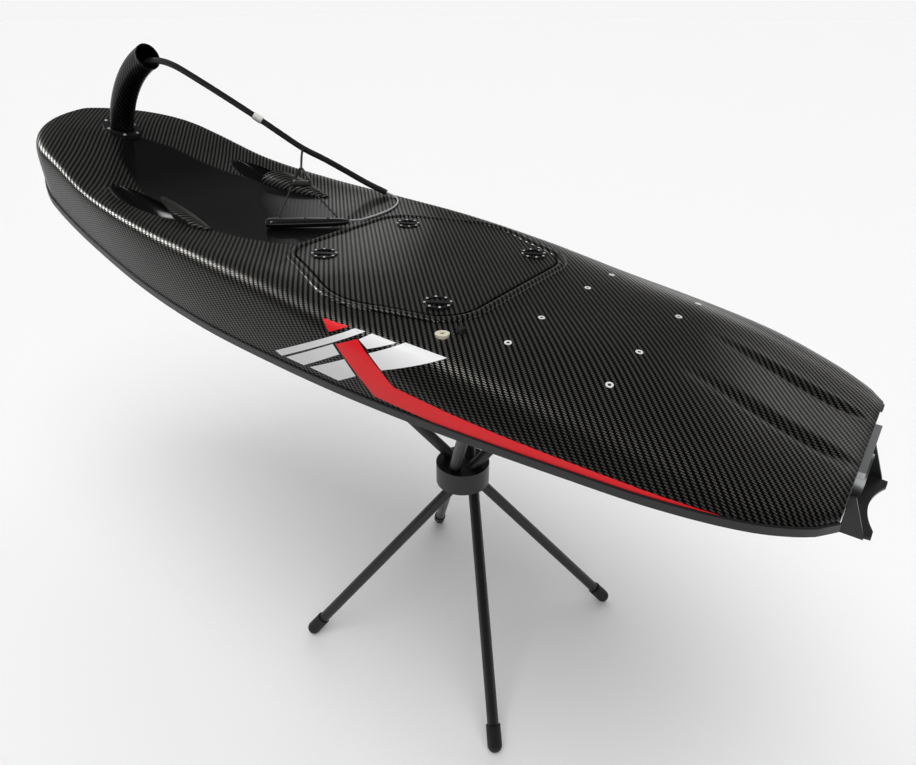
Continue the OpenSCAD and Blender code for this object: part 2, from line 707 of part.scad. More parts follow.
// Routes of the handle's cable and cords, chosen points from end to end
tether_r = 6.5;
tether_route = [
    [654, 0, 1121], [634, 0, 1132], [612, 0, 1140], [592, 0, 1144], [566, -4, 1143], [535, -13, 1134],
    [500, -36, 1109], [455, -70, 1072], [404, -105, 1031], [368, -132, 999],
    [331, -160, 967], [290, -184, 944], [250, -206, 920], [205, -226, 895], [160, -240, 877]];
throttle_r = 2;
throttle_route = [
    [159, -240.3, 876.6], [150, -243, 874], [136, -242, 871.2], [120, -232, 868.8], [106, -214, 866.2],
    [96, -190, 864.1], [91, -162, 862.7], [90, -132, 861.9], [91, -104, 861.5], [90, -80, 862.5],
    [87, -60, 866.5], [85, -42.4, 870]];
strap_r = 2.5;
strap_route = [[326, -154, 964.5], [310, -136, 958], [294, -119, 950], [273.4, -97.8, 941.8]];
bridle_r = 1.8;
bridle_front_route = [[245.7, -42.5, 917.3], [228, -12, 903], [210.5, 17.5, 890], [193.1, 47.7, 878.2]];
bridle_rear_route = [[209.3, -57.7, 917.9], [176, -48.5, 903], [142, -39.4, 889.5], [108.5, -30.2, 876.9]];
function direction(p, i) = let (d = p[min(i + 1, len(p) - 1)] - p[max(i - 1, 0)]) d / norm(d);
// Round cord along its route, its rings square to the way it runs
module cord(route, r, sides) {
    sweep([for (i = [0:len(route) - 1])
        let (t = direction(route, i), side = cross(t, [0, 0, 1]) / norm(cross(t, [0, 0, 1])), up = cross(side, t))
        [for (k = [0:sides - 1]) route[i] + r * (cos(360 * k / sides) * side - sin(360 * k / sides) * up)]]);
}
module tether_cable() {
    color("#151516") cord(tether_route, tether_r, 10);
}
module throttle_cable() {
    color("#9a9c9e") cord(throttle_route, throttle_r, 8);
}
module bridle_strap() {
    color("#151516") cord(strap_route, strap_r, 8);
}
module bridle_cord_front() {
    color("#2a2a2c") cord(bridle_front_route, bridle_r, 8);
}
module bridle_cord_rear() {
    color("#2a2a2c") cord(bridle_rear_route, bridle_r, 8);
}
// Triangular ring between the strap and the spreader: apex, front foot, rear foot
ring_r = 3;
ring_points = [[276, -100, 943], [250, -50, 923], [213, -66, 925]];
ring_turns = 4;
// Points round the ring, its corners cut back and joined by short bends
ring_corner = 0.22;
ring_line = [for (k = [0:2]) for (i = [0:ring_turns])
    let (a = ring_points[(k + 2) % 3], b = ring_points[k], c = ring_points[(k + 1) % 3], t = i / ring_turns,
         p = b + (a - b) * ring_corner, q = b + (c - b) * ring_corner)
    p * pow(1 - t, 2) + 2 * b * t * (1 - t) + q * t * t];
module bridle_ring() {
    n = len(ring_line);
    axis = cross(ring_points[1] - ring_points[0], ring_points[2] - ring_points[0]);
    up = axis / norm(axis);
    rings = [for (i = [0:n - 1])
        let (d = ring_line[(i + 1) % n] - ring_line[(i + n - 1) % n], side = cross(d, up) / norm(d))
        [for (k = [0:7]) ring_line[i] + ring_r * (cos(45 * k) * side - sin(45 * k) * up)]];
    color("#1a1a1b") polyhedron([for (r = rings) each r], [for (i = [0:n - 1]) for (j = [0:7])
        let (k = (j + 1) % 8, m = (i + 1) % n * 8, a = i * 8 + j, b = i * 8 + k, c = m + k, d = m + j)
        each [[a, d, c], [a, c, b]]]);
}
spreader_r = 3.5;
spreader_points = [[251.3, -44, 918.4], [207.3, -63, 920.8]];
module bridle_spreader() {
    a = spreader_points[0];
    b = spreader_points[1];
    color("#0d0d0e") between(a, b) cylinder(r = spreader_r, h = norm(b - a));
}
// Grip lying on the deck between the well and the hatch, from its front to its rear end
grip_r = 12;
grip_front = [196, 66];
grip_rear = [90, -31];
function grip_end(p) = [p[0], p[1], deck_at(p[0], p[1]) + grip_r + rest_gap];
module handle_grip() {
    a = grip_end(grip_front);
    b = grip_end(grip_rear);
    color("#1c1d20") between(a, b) {
        cylinder(r = grip_r, h = norm(b - a));
        sphere(grip_r);
        translate([0, 0, norm(b - a)]) sphere(grip_r);
    }
}

hull_shell();
deck_shell();
edge_band();
engine_block();
hatch_cover();
for (i = [0:3]) hatch_latch(i);
snorkel_tube();
snorkel_flange();
scoop(1);  // scoop_port
scoop(-1);  // scoop_starboard
deck_insert_row(insert_rows[0]);  // deck_inserts_front
deck_insert_row(insert_rows[1]);  // deck_inserts_rear
filler_plug();
vent_cap();
intake_grate();
impeller();
pump_nozzle();
stern_cowl();
transom_strip();
tether_cable();
throttle_cable();
bridle_strap();
bridle_ring();
bridle_spreader();
bridle_cord_front();
bridle_cord_rear();
handle_grip();
for (i = [0:3]) stand_tube(i);
stand_hub();
for (i = [0:3]) foot_cap(i);
for (i = [0:3]) top_cap(i);
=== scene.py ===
"""Motorized surfboard on its stand: looks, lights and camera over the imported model."""
import math

import bmesh
import bpy
import numpy as np
from mathutils import Matrix, Vector


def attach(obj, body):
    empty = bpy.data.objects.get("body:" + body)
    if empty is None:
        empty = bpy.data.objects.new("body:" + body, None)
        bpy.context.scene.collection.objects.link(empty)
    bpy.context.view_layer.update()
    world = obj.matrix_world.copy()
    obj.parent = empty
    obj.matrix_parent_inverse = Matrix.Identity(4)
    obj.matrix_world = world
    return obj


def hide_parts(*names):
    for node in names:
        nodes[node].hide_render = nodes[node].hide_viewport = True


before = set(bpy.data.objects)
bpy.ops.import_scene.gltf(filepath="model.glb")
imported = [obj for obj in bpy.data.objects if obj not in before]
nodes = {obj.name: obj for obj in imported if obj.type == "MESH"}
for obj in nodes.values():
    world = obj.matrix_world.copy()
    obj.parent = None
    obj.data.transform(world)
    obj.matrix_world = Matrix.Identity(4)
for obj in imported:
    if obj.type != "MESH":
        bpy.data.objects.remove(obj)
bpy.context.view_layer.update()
MM = 0.001

# Camera, found from the photo's perspective
CAMERA_PLACE = (-0.898, 0.9508, 1.2559)
CAMERA_RIGHT = Vector((-0.8112, -0.5848, 0.0))
CAMERA_UP = Vector((0.2808, -0.3895, 0.8773))
CAMERA_LENS = 27.4


def make_camera():
    data = bpy.data.cameras.new("camera")
    data.sensor_width = 36.0
    data.lens = CAMERA_LENS
    data.clip_start, data.clip_end = 0.01, 100.0
    cam = bpy.data.objects.new("camera", data)
    bpy.context.collection.objects.link(cam)
    right = CAMERA_RIGHT.normalized()
    back = right.cross(CAMERA_UP).normalized()
    up = back.cross(right)
    turn = Matrix((right, up, back)).transposed()
    cam.matrix_world = Matrix.Translation(CAMERA_PLACE) @ turn.to_4x4()
    bpy.context.scene.camera = cam


make_camera()


# Materials
class Nodes:
    """Short way to write a material's node tree."""

    def __init__(self, name, **shader):
        self.mat = bpy.data.materials.new(name)
        self.mat.use_nodes = True
        self.tree = self.mat.node_tree
        self.shader = self.tree.nodes["Principled BSDF"]
        for key, value in shader.items():
            self.shader.inputs[key.replace("_", " ")].default_value = value

    def put(self, target, value):
        if isinstance(value, bpy.types.NodeSocket):
            self.tree.links.new(value, target)
        else:
            target.default_value = value

    def add(self, kind, **values):
        n = self.tree.nodes.new(kind)
        for key, value in values.items():
            setattr(n, key, value)
        return n

    def math(self, op, a, b=0.0, c=0.0):
        n = self.add("ShaderNodeMath", operation=op)
        for socket, value in zip(n.inputs, (a, b, c)):
            self.put(socket, value)
        return n.outputs[0]

    def mix(self, share, a, b):
        n = self.add("ShaderNodeMix", data_type="RGBA")
        self.put(n.inputs["Factor"], share)
        self.put(n.inputs["A"], a)
        self.put(n.inputs["B"], b)
        return n.outputs["Result"]

    def noise(self, scale, detail):
        n = self.add("ShaderNodeTexNoise")
        n.inputs["Scale"].default_value = scale
        n.inputs["Detail"].default_value = detail
        place = self.add("ShaderNodeTexCoord").outputs["Object"]
        self.tree.links.new(place, n.inputs["Vector"])
        return n.outputs["Fac"]

    def span(self, value, low, high):
        n = self.add("ShaderNodeMapRange")
        self.put(n.inputs["Value"], value)
        n.inputs["To Min"].default_value = low
        n.inputs["To Max"].default_value = high
        return n.outputs["Result"]

    def bump(self, height, strength, distance):
        n = self.add("ShaderNodeBump")
        n.inputs["Strength"].default_value = strength
        n.inputs["Distance"].default_value = distance
        self.put(n.inputs["Height"], height)
        self.tree.links.new(n.outputs["Normal"], self.shader.inputs["Normal"])

    def to(self, name, value):
        self.put(self.shader.inputs[name], value)


# Carbon twill: width of a tow in metres, tows in a repeat and on top, colours
TOW = 0.0029
REPEAT, ON_TOP = 4.0, 2.0
TOW_LIGHT = (0.46, 0.45, 0.415, 1)
TOW_DARK = (0.0012, 0.0012, 0.0014, 1)
# Sheen along the middle of a tow: how narrow, how metallic and how uneven it is
SHEEN_POWER, SHEEN_METAL, SHEEN_METAL_MOST = 2.5, 3.0, 0.95
SHEEN_LOW, SHEEN_HIGH = 0.7, 1.25
WEFT_ROUGH, WARP_LESS, PLAIN_LESS = 0.44, -0.1, -0.2
WEAVE_STRENGTH, WEAVE_DEPTH = 0.3, 0.0003
# Painted shade: how much darker the weave is drawn on the steep sides, as if they caught less light
SIDE_SHADE_DIM = 0.75


def carbon(name, light=TOW_LIGHT, plain=None):
    """Clear-coated two-by-two twill, laid by the mesh's own metres in its UV map."""
    m = Nodes(name, Coat_Weight=0.22, Coat_Roughness=0.03, Coat_IOR=1.4, Specular_IOR_Level=0.06)
    uv = m.add("ShaderNodeSeparateXYZ")
    m.tree.links.new(m.add("ShaderNodeUVMap", uv_map="metres").outputs[0], uv.inputs[0])
    a = m.math("DIVIDE", uv.outputs[0], TOW)
    b = m.math("DIVIDE", uv.outputs[1], TOW)
    step = m.math("ADD", m.math("FLOOR", a), m.math("FLOOR", b))
    warp = m.math("LESS_THAN", m.math("FLOORED_MODULO", step, REPEAT), ON_TOP)
    across_a = m.math("SINE", m.math("MULTIPLY", m.math("FRACT", a), math.pi))
    across_b = m.math("SINE", m.math("MULTIPLY", m.math("FRACT", b), math.pi))
    lift = m.math("ADD", m.math("MULTIPLY", warp, across_b),
                  m.math("MULTIPLY", m.math("SUBTRACT", 1.0, warp), across_a))
    shine = m.math("MULTIPLY", warp, m.math("POWER", across_b, SHEEN_POWER))
    shine = m.math("MULTIPLY", shine, m.span(m.noise(6.0, 2.0), SHEEN_LOW, SHEEN_HIGH))
    rough = m.math("MULTIPLY_ADD", warp, WARP_LESS, WEFT_ROUGH)
    if plain is None:
        m.to("Base Color", m.mix(shine, TOW_DARK, light))
    else:
        mask = m.add("ShaderNodeAttribute", attribute_name="plain").outputs["Fac"]
        bare = m.math("SUBTRACT", 1.0, mask)
        # Painted shade: the light tows are drawn darker, and less metallic, on the steep sides
        painted_side_shade = m.add("ShaderNodeAttribute", attribute_name="painted_side_shade").outputs["Fac"]
        keep = m.math("MULTIPLY_ADD", painted_side_shade, -SIDE_SHADE_DIM, 1.0)
        shine = m.math("MULTIPLY", m.math("MULTIPLY", shine, bare), keep)
        m.to("Base Color", m.mix(mask, m.mix(shine, TOW_DARK, light), plain))
        rough = m.math("MULTIPLY_ADD", mask, PLAIN_LESS, rough)
        lift = m.math("MULTIPLY", lift, bare)
    m.to("Roughness", rough)
    m.bump(lift, WEAVE_STRENGTH, WEAVE_DEPTH)
    m.to("Metallic", m.math("MINIMUM", m.math("MULTIPLY", shine, SHEEN_METAL), SHEEN_METAL_MOST))
    return m.mat


def plain(name, color, rough, metallic=0.0, coat=0.0, grain=400.0, depth=0.0, vary=0.25):
    """Moulded, painted or machined surface with fine grain and a little variation."""
    m = Nodes(name, Metallic=metallic, Coat_Weight=coat, Coat_Roughness=0.06)
    cloud = m.noise(14.0, 4.0)
    low = tuple(c * (1 - vary) for c in color) + (1,)
    high = tuple(min(1, c * (1 + vary)) for c in color) + (1,)
    m.to("Base Color", m.mix(cloud, low, high))
    m.to("Roughness", m.span(m.noise(60.0, 4.0), rough * 0.85, min(1, rough * 1.15)))
    if depth:
        m.bump(m.noise(grain, 2.0), 0.5, depth)
    return m.mat


CARBON = carbon("carbon_deck", plain=(0.004, 0.004, 0.0045, 1))
CARBON_PLAIN = carbon("carbon_parts")
CARBON_DIM = carbon("carbon_tube", light=(0.07, 0.069, 0.066, 1))
GLOSS = plain("black_gloss", (0.004, 0.004, 0.0045), 0.16, coat=0.8)
GELCOAT = plain("hull_gelcoat", (0.006, 0.006, 0.0065), 0.24, coat=0.4)
SATIN = plain("satin_black", (0.010, 0.010, 0.011), 0.42, depth=0.00005)
PLASTIC = plain("black_plastic", (0.009, 0.009, 0.0095), 0.38, depth=0.00006)
RUBBER = plain("rubber", (0.007, 0.007, 0.007), 0.62, depth=0.0001, grain=600)
POWDER = plain("powder_coat", (0.010, 0.010, 0.011), 0.40, depth=0.00008, grain=1200)
METAL = plain("pump_metal", (0.50, 0.51, 0.52), 0.34, metallic=1.0, depth=0.00003, vary=0.1)
# Steel grey made light and only partly metallic, so bolts and latch studs show bright whatever they reflect:
# steel colour with a painted glint
STEEL_AND_GLINT = plain("steel_with_painted_glint", (0.72, 0.72, 0.71), 0.28, metallic=0.4, vary=0.08)
CAST = plain("engine_cast", (0.16, 0.17, 0.18), 0.55, metallic=0.6, depth=0.0003, grain=300)
WHITE_INSERT = plain("white_nylon", (0.80, 0.79, 0.75), 0.35, vary=0.06)
CREAM = plain("cream_nylon", (0.70, 0.66, 0.52), 0.35, vary=0.08)
CABLE = plain("cable_jacket", (0.008, 0.008, 0.0085), 0.45, depth=0.00006, grain=900)
GREY_CABLE = plain("grey_cable", (0.42, 0.43, 0.44), 0.4, vary=0.12)
WEB = plain("woven_cord", (0.020, 0.020, 0.021), 0.7, depth=0.0004, grain=700)
RING = plain("ring_enamel", (0.012, 0.012, 0.013), 0.3, coat=0.5)
RED = plain("red_paint", (0.86, 0.008, 0.014), 0.4, coat=0.1, vary=0.04)
WHITE = plain("white_paint", (0.88, 0.88, 0.89), 0.4, coat=0.1, vary=0.03)


# Board lines, as in the part's source, in millimetres: [from the transom, half width of the
# lower edge, its height, half width of the deck edge, its height, height of the deck's middle]
STATIONS = np.array([
    [0, 168, 56, 150, 76, 83], [25, 203, 60, 160, 84, 91], [85, 243, 66, 174, 100, 108],
    [185, 272, 71, 186, 128, 140], [305, 286, 74, 206, 146, 167], [465, 297, 76, 232, 162, 179],
    [655, 300, 77, 270, 181, 193], [835, 294, 80, 270, 206, 205], [1035, 284, 90, 266, 222, 208],
    [1235, 264, 110, 256, 238, 219], [1435, 238, 146, 238, 266, 245], [1585, 218, 186, 214, 310, 301],
    [1685, 203, 228, 199, 336, 343], [1810, 186, 303, 182, 368, 372]], float)
BEAM, CHINE, EDGE, EDGE_Z, DECK_Z = range(1, 6)
BOARD_LEN = 1810
BOARD_Z = 652
NOSE_ROUND = 175
NOSE_TURN = math.radians(86.5)
SHOULDER = 12
# Handles of the side's curve: share of the way out, and of the height from above and below
SIDE_OUT, SIDE_TOP, SIDE_LOW = 0.5, 0.08, 0.45
CROWN_POWER = 4
GROOVE_DEPTH, GROOVE_Y, GROOVE_W = 9, 65, 10
GROOVE_END, GROOVE_RUN, GROOVE_FADE = 260, 140, 60
REST_GAP = 0.3
COWL_REACH = 38
BAND_T = 3
TOTAL_LEN = COWL_REACH + BOARD_LEN - NOSE_ROUND * (1 - math.sin(NOSE_TURN)) + REST_GAP + BAND_T
TRANSOM = COWL_REACH - TOTAL_LEN / 2
NOSE_START = TRANSOM + BOARD_LEN - NOSE_ROUND


def table_at(table, u, c):
    """Smooth reading of one column of a table at the place u of its first column."""
    i = int(np.clip(np.searchsorted(table[:, 0], u, side="right") - 1, 0, len(table) - 2))

    def slope(k):
        a, b = max(k - 1, 0), min(k + 1, len(table) - 1)
        return (table[b, c] - table[a, c]) / (table[b, 0] - table[a, 0])

    h = table[i + 1, 0] - table[i, 0]
    t = (u - table[i, 0]) / h
    return (table[i, c] * (1 + 2 * t) * (1 - t) ** 2 + table[i + 1, c] * t * t * (3 - 2 * t)
            + h * slope(i) * t * (1 - t) ** 2 - h * slope(i + 1) * t * t * (1 - t))


def line_at(u, c):
    return table_at(STATIONS, u, c)


def nose_share(x):
    t = max(0, x - NOSE_START) / NOSE_ROUND
    return math.sqrt(max(0, 1 - t * t))


def width_at(x, c):
    return nose_share(x) * line_at(x - TRANSOM, c)


def height_at(x, c):
    return BOARD_Z + line_at(x - TRANSOM, c)


def smooth(t):
    s = min(1, max(0, t))
    return s * s * (3 - 2 * s)


def deck_at(x, y):
    s = min(1, abs(y) / width_at(x, EDGE))
    z = height_at(x, EDGE_Z)
    ends = smooth((TRANSOM + GROOVE_END - x) / GROOVE_RUN) * smooth((x - TRANSOM) / GROOVE_FADE)
    groove = GROOVE_DEPTH * ends * math.exp(-((abs(y) - GROOVE_Y) / GROOVE_W) ** 2)
    return z + (height_at(x, DECK_Z) - z) * (1 - s ** CROWN_POWER) - groove


def side_point(x, t):
    """Point [y, z] on the port side, t from the deck edge down to the lower edge."""
    e, b = width_at(x, EDGE), width_at(x, BEAM)
    top, low = height_at(x, EDGE_Z), height_at(x, CHINE) + REST_GAP / 2
    h = top - low
    out = e + SIDE_OUT * (b - e) + SHOULDER * nose_share(x)
    k = ((e, top), (out, top - SIDE_TOP * h), (b, low + SIDE_LOW * h), (b, low))
    w = ((1 - t) ** 3, 3 * t * (1 - t) ** 2, 3 * t * t * (1 - t), t ** 3)
    return [sum(w[i] * k[i][j] for i in range(4)) for j in (0, 1)]


# Meshes
SMOOTH_ANGLE, NODE_SMOOTH_ANGLE = 40, 35


def new_object(name, verts, faces, material, uv=None):
    mesh = bpy.data.meshes.new(name)
    mesh.from_pydata([tuple(c * MM for c in v) for v in verts], [], faces)
    if uv is not None:
        layer = mesh.uv_layers.new(name="metres")
        for loop in mesh.loops:
            layer.data[loop.index].uv = uv[loop.vertex_index]
    mesh.materials.append(material)
    obj = bpy.data.objects.new(name, mesh)
    bpy.context.collection.objects.link(obj)
    shade(obj)
    return obj


def shade(obj, angle=SMOOTH_ANGLE):
    obj.data.polygons.foreach_set("use_smooth", [True] * len(obj.data.polygons))
    obj.data.set_sharp_from_angle(angle=math.radians(angle))


def tidy_normals(obj):
    b = bmesh.new()
    b.from_mesh(obj.data)
    bmesh.ops.recalc_face_normals(b, faces=b.faces)
    b.to_mesh(obj.data)
    b.free()


def tube_faces(m, n, closed, first=0):
    """Quads between m rings of n points each; closed joins the last ring to the first."""
    quads = []
    for i in range(m if closed else m - 1):
        a, b = first + i * n, first + (i + 1) % m * n
        quads += [(a + j, a + (j + 1) % n, b + (j + 1) % n, b + j) for j in range(n)]
    return quads


def end_faces(m, n):
    return [tuple(range(n))[::-1], tuple((m - 1) * n + j for j in range(n))]


def plan_uv(verts):
    return [(v[0] * MM, v[1] * MM) for v in verts]


def turned(place, up, rows, n):
    """Points of a turned shape: rows of [radius, height] round the axis up."""
    side = up.orthogonal().normalized()
    other = up.cross(side)
    turns = [2 * math.pi * k / n for k in range(n)]
    return [tuple(place + h * up + r * (math.cos(a) * side + math.sin(a) * other))
            for r, h in rows for a in turns]


def travel(points):
    """Distance along a line of points at each of them."""
    return np.concatenate([[0], np.cumsum(np.linalg.norm(np.diff(points, axis=0), axis=1))])


def ring_mesh(name, rings, material):
    """Closed solid with plain ends through rings of points; the UV map holds metres along and round it."""
    m, n = len(rings), len(rings[0])
    verts = [p for r in rings for p in r]
    faces = tube_faces(m, n, False) + end_faces(m, n)
    uv = []
    for r in rings:
        girth = travel(np.array(r))
        girth -= girth[n // 2]
        uv += [(p[0] * MM, g * MM) for p, g in zip(r, girth)]
    obj = new_object(name, verts, faces, material, uv=uv)
    obj.data.materials.append(RUBBER)
    for f in obj.data.polygons[-2:]:
        f.material_index = 1
    tidy_normals(obj)
    return obj


def prism(low, high, material):
    """Cutter between two outlines of as many points."""
    n = len(low)
    obj = new_object("cutter", low + high, tube_faces(2, n, False) + end_faces(2, n), material,
                     uv=plan_uv(low + high))
    tidy_normals(obj)
    return obj


def boolean(obj, cutters, operation):
    """Cuts a piece and keeps the result as its own mesh."""
    for c in cutters:
        mod = obj.modifiers.new("cut", "BOOLEAN")
        mod.operation = operation
        mod.solver = "EXACT"
        mod.object = c
    bpy.context.view_layer.update()
    done = bpy.data.meshes.new_from_object(obj.evaluated_get(bpy.context.evaluated_depsgraph_get()))
    obj.modifiers.clear()
    old, obj.data = obj.data, done
    bpy.data.meshes.remove(old)
    for c in cutters:
        bpy.data.objects.remove(c)
    shade(obj)


# Places of the sections, and shares across the deck and down the side in each
STEP, NOSE_STEPS = 10, 24
PLACES = np.concatenate([np.arange(TRANSOM, NOSE_START, STEP),
                         NOSE_START + NOSE_ROUND * np.sin(np.linspace(0, NOSE_TURN, NOSE_STEPS))])
DECK_SHARES = np.concatenate([np.linspace(0, 0.55, 34), np.linspace(0.57, 1, 18)])
SIDE_SHARES = np.linspace(0, 1, 21)[1:]
RIM = len(DECK_SHARES) - 1
RIM_REACH = 14
# Passes of rounding [from the transom, passes]: a crisp shoulder aft, a broad roll forward
RIM_PASSES = np.array([[0, 4], [480, 5], [800, 24], [BOARD_LEN, 24]], float)


def skin_half(x):
    """Port half of a section [y, z] from the deck's middle down to the lower edge, its rim rolled round."""
    e = width_at(x, EDGE)
    half = np.array([(s * e, deck_at(x, s * e)) for s in DECK_SHARES]
                    + [side_point(x, t) for t in SIDE_SHARES])
    part = slice(RIM - RIM_REACH, RIM + RIM_REACH)
    before = slice(RIM - RIM_REACH - 1, RIM + RIM_REACH - 1)
    after = slice(RIM - RIM_REACH + 1, RIM + RIM_REACH + 1)
    passes = np.interp(x - TRANSOM, RIM_PASSES[:, 0], RIM_PASSES[:, 1])
    for k in range(math.ceil(passes)):
        share = min(1.0, passes - k)
        half[part] = (1 - 0.5 * share) * half[part] + 0.25 * share * (half[before] + half[after])
    return half


def deck_ring(x, lift=0.0):
    half = [(x, y, z + lift) for y, z in skin_half(x)]
    return [(p[0], -p[1], p[2]) for p in half[:0:-1]] + half


# Cables and cords: radius, look, slot, stiffness, lay, and the route of the part's source, in millimetres
ROUTES = {
    "tether_cable": (6.5, CABLE, "cable_rubber", "stiff", "hanging", [
        (654, 0, 1121), (634, 0, 1132), (612, 0, 1140), (592, 0, 1144), (566, -4, 1143), (535, -13, 1134),
        (500, -36, 1109), (455, -70, 1072), (404, -105, 1031), (368, -132, 999), (331, -160, 967),
        (290, -184, 944), (250, -206, 920), (205, -226, 895), (160, -240, 877)]),
    "throttle_cable": (2, GREY_CABLE, "cable_grey", "medium", "loose", [
        (159, -240.3, 876.6), (150, -243, 874), (136, -242, 871.2), (120, -232, 868.8), (106, -214, 866.2),
        (96, -190, 864.1), (91, -162, 862.7), (90, -132, 861.9), (91, -104, 861.5), (90, -80, 862.5),
        (87, -60, 866.5), (85, -42.4, 870)]),
    "bridle_strap": (2.5, WEB, "cable_rubber", "limp", "hanging", [
        (326, -154, 964.5), (310, -136, 958), (294, -119, 950), (273.4, -97.8, 941.8)]),
    "bridle_cord_front": (1.8, WEB, "cord_black", "limp", "hanging", [
        (245.7, -42.5, 917.3), (228, -12, 903), (210.5, 17.5, 890), (193.1, 47.7, 878.2)]),
    "bridle_cord_rear": (1.8, WEB, "cord_black", "limp", "hanging", [
        (209.3, -57.7, 917.9), (176, -48.5, 903), (142, -39.4, 889.5), (108.5, -30.2, 876.9)])}
CORD_STEPS = 4
CORD_ROUND = 5


def smooth_route(points):
    """Catmull-Rom line through the points, in millimetres."""
    p = np.array(points, float)
    p = np.vstack([2 * p[0] - p[1], p, 2 * p[-1] - p[-2]])
    out = []
    for i in range(1, len(p) - 2):
        for k in range(CORD_STEPS):
            t = k / CORD_STEPS
            out.append(0.5 * (2 * p[i] + (p[i + 1] - p[i - 1]) * t
                              + (2 * p[i - 1] - 5 * p[i] + 4 * p[i + 1] - p[i + 2]) * t * t
                              + (3 * p[i] - p[i - 1] - 3 * p[i + 1] + p[i + 2]) * t ** 3))
    return np.array(out + [p[-2]])


def make_cords():
    for name, (r, material, slot, stiffness, lay, points) in ROUTES.items():
        line = smooth_route(points) * MM
        curve = bpy.data.curves.new(name + "_line", "CURVE")
        curve.dimensions = "3D"
        curve.bevel_depth = r * MM
        curve.bevel_resolution = CORD_ROUND
        curve.use_fill_caps = True
        spline = curve.splines.new("POLY")
        spline.points.add(len(line) - 1)
        for point, place in zip(spline.points, line):
            point.co = (*place, 1)
        curve.materials.append(material)
        obj = bpy.data.objects.new(name + "_line", curve)
        bpy.context.collection.objects.link(obj)
        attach(obj, "board")
        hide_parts(name)


make_cords()

# Hatch, as in the part's source; its port side is three arcs of [x, y, radius]
HATCH_FROM, HATCH_LEN, HATCH_W = 553, 392, 450
HATCH_T, HATCH_PROUD, HATCH_GAP = 14, 1.5, 3
HATCH_X0 = TRANSOM + HATCH_FROM
HATCH_ARCS = [(HATCH_X0 + 75, 115, 75), (HATCH_X0 + HATCH_LEN * 0.47, HATCH_W / 2 - 120, 120),
              (HATCH_X0 + HATCH_LEN - 55, 103, 55)]
ARC_STEPS = 18


def hatch_outline(grow):
    """Outline in plan, that much larger all round."""
    def tangent(a, b):
        dx, dy = b[0] - a[0], b[1] - a[1]
        return math.atan2(-dy, dx) + math.asin((b[2] - a[2]) / math.hypot(dx, dy))
    t01, t12 = -tangent(HATCH_ARCS[0], HATCH_ARCS[1]), -tangent(HATCH_ARCS[1], HATCH_ARCS[2])
    turns = [(-math.pi / 2, t01), (t01, t12), (t12, math.pi / 2)]
    port = []
    for (cx, cy, r), (a, b) in zip(HATCH_ARCS, turns):
        for k in range(ARC_STEPS + 1):
            w = a + (b - a) * k / ARC_STEPS
            port.append((cx + (r + grow) * math.sin(w), cy + (r + grow) * math.cos(w)))
    return port + [(x, -y) for x, y in port[::-1]]


HATCH_MID = HATCH_X0 + HATCH_LEN / 2
HATCH_RISE = deck_at(HATCH_X0 + HATCH_LEN, 0) - deck_at(HATCH_X0, 0)
HATCH_SLOPE = math.atan2(HATCH_RISE, HATCH_LEN)
HATCH_MID_Z = (deck_at(HATCH_X0 + HATCH_LEN, 0) + deck_at(HATCH_X0, 0)) / 2


def in_hatch_frame(x, y, z):
    d = x - HATCH_MID
    c, s = math.cos(HATCH_SLOPE), math.sin(HATCH_SLOPE)
    return (HATCH_MID + c * d - s * z, y, HATCH_MID_Z + s * d + c * z)


def hatch_prism(grow, low, high):
    """Cutter square to the hatch, from low to high above its middle."""
    line = hatch_outline(grow)
    return prism([in_hatch_frame(x, y, low) for x, y in line], [in_hatch_frame(x, y, high) for x, y in line],
                 GELCOAT)


BEVEL_SEGMENTS = 2
BEVEL_ANGLE = math.radians(50)


def bevel(obj, width):
    mod = obj.modifiers.new("edges", "BEVEL")
    mod.width = width * MM
    mod.segments = BEVEL_SEGMENTS
    mod.limit_method = "ANGLE"
    mod.angle_limit = BEVEL_ANGLE
    mod.harden_normals = True


# Front well floor, plain black gloss between the carbon rims: [x, starboard border, port border]
WELL = np.array([[60, -20, 100], [120, -40, 130], [190, -100, 150], [300, -150, 165], [420, -150, 165],
                 [560, -110, 120], [680, -70, 80], [745, -20, 30]], float)
WELL_SOFT = 14
# Where the scoops' ramps lie, and how far below the deck a point counts as in one
RAMP_FROM, RAMP_TO, RAMP_SIDE = 305, 590, 40
RAMP_BELOW, RAMP_SOFT = 0.5, 2
FACES_UP = 0.1
# A side is steep, and its weave gets painted shade, where its normal's height falls below this, over a soft
# range; aft of STEEP_AFT, in millimetres, gentler slopes count too
STEEP_BELOW, STEEP_SOFT = 0.72, 0.4
STEEP_BELOW_MORE, STEEP_SOFT_LESS = 0.17, 0.2
STEEP_AFT, STEEP_AFT_RUN = 50, 350


def plain_share(x, y):
    """1 on the smooth floor of the front well, 0 on bare weave."""
    if not WELL[0, 0] < x < WELL[-1, 0]:
        return 0.0
    low, high = np.interp(x, WELL[:, 0], WELL[:, 1]), np.interp(x, WELL[:, 0], WELL[:, 2])
    ends = smooth((x - WELL[0, 0]) / WELL_SOFT) * smooth((WELL[-1, 0] - x) / WELL_SOFT)
    return ends * smooth((high - y) / WELL_SOFT) * smooth((y - low) / WELL_SOFT)


def ramp_share(x, y, z):
    """1 where a point lies below the deck's own surface, in a ramp."""
    return smooth((deck_at(x, y) - z - RAMP_BELOW) / RAMP_SOFT)


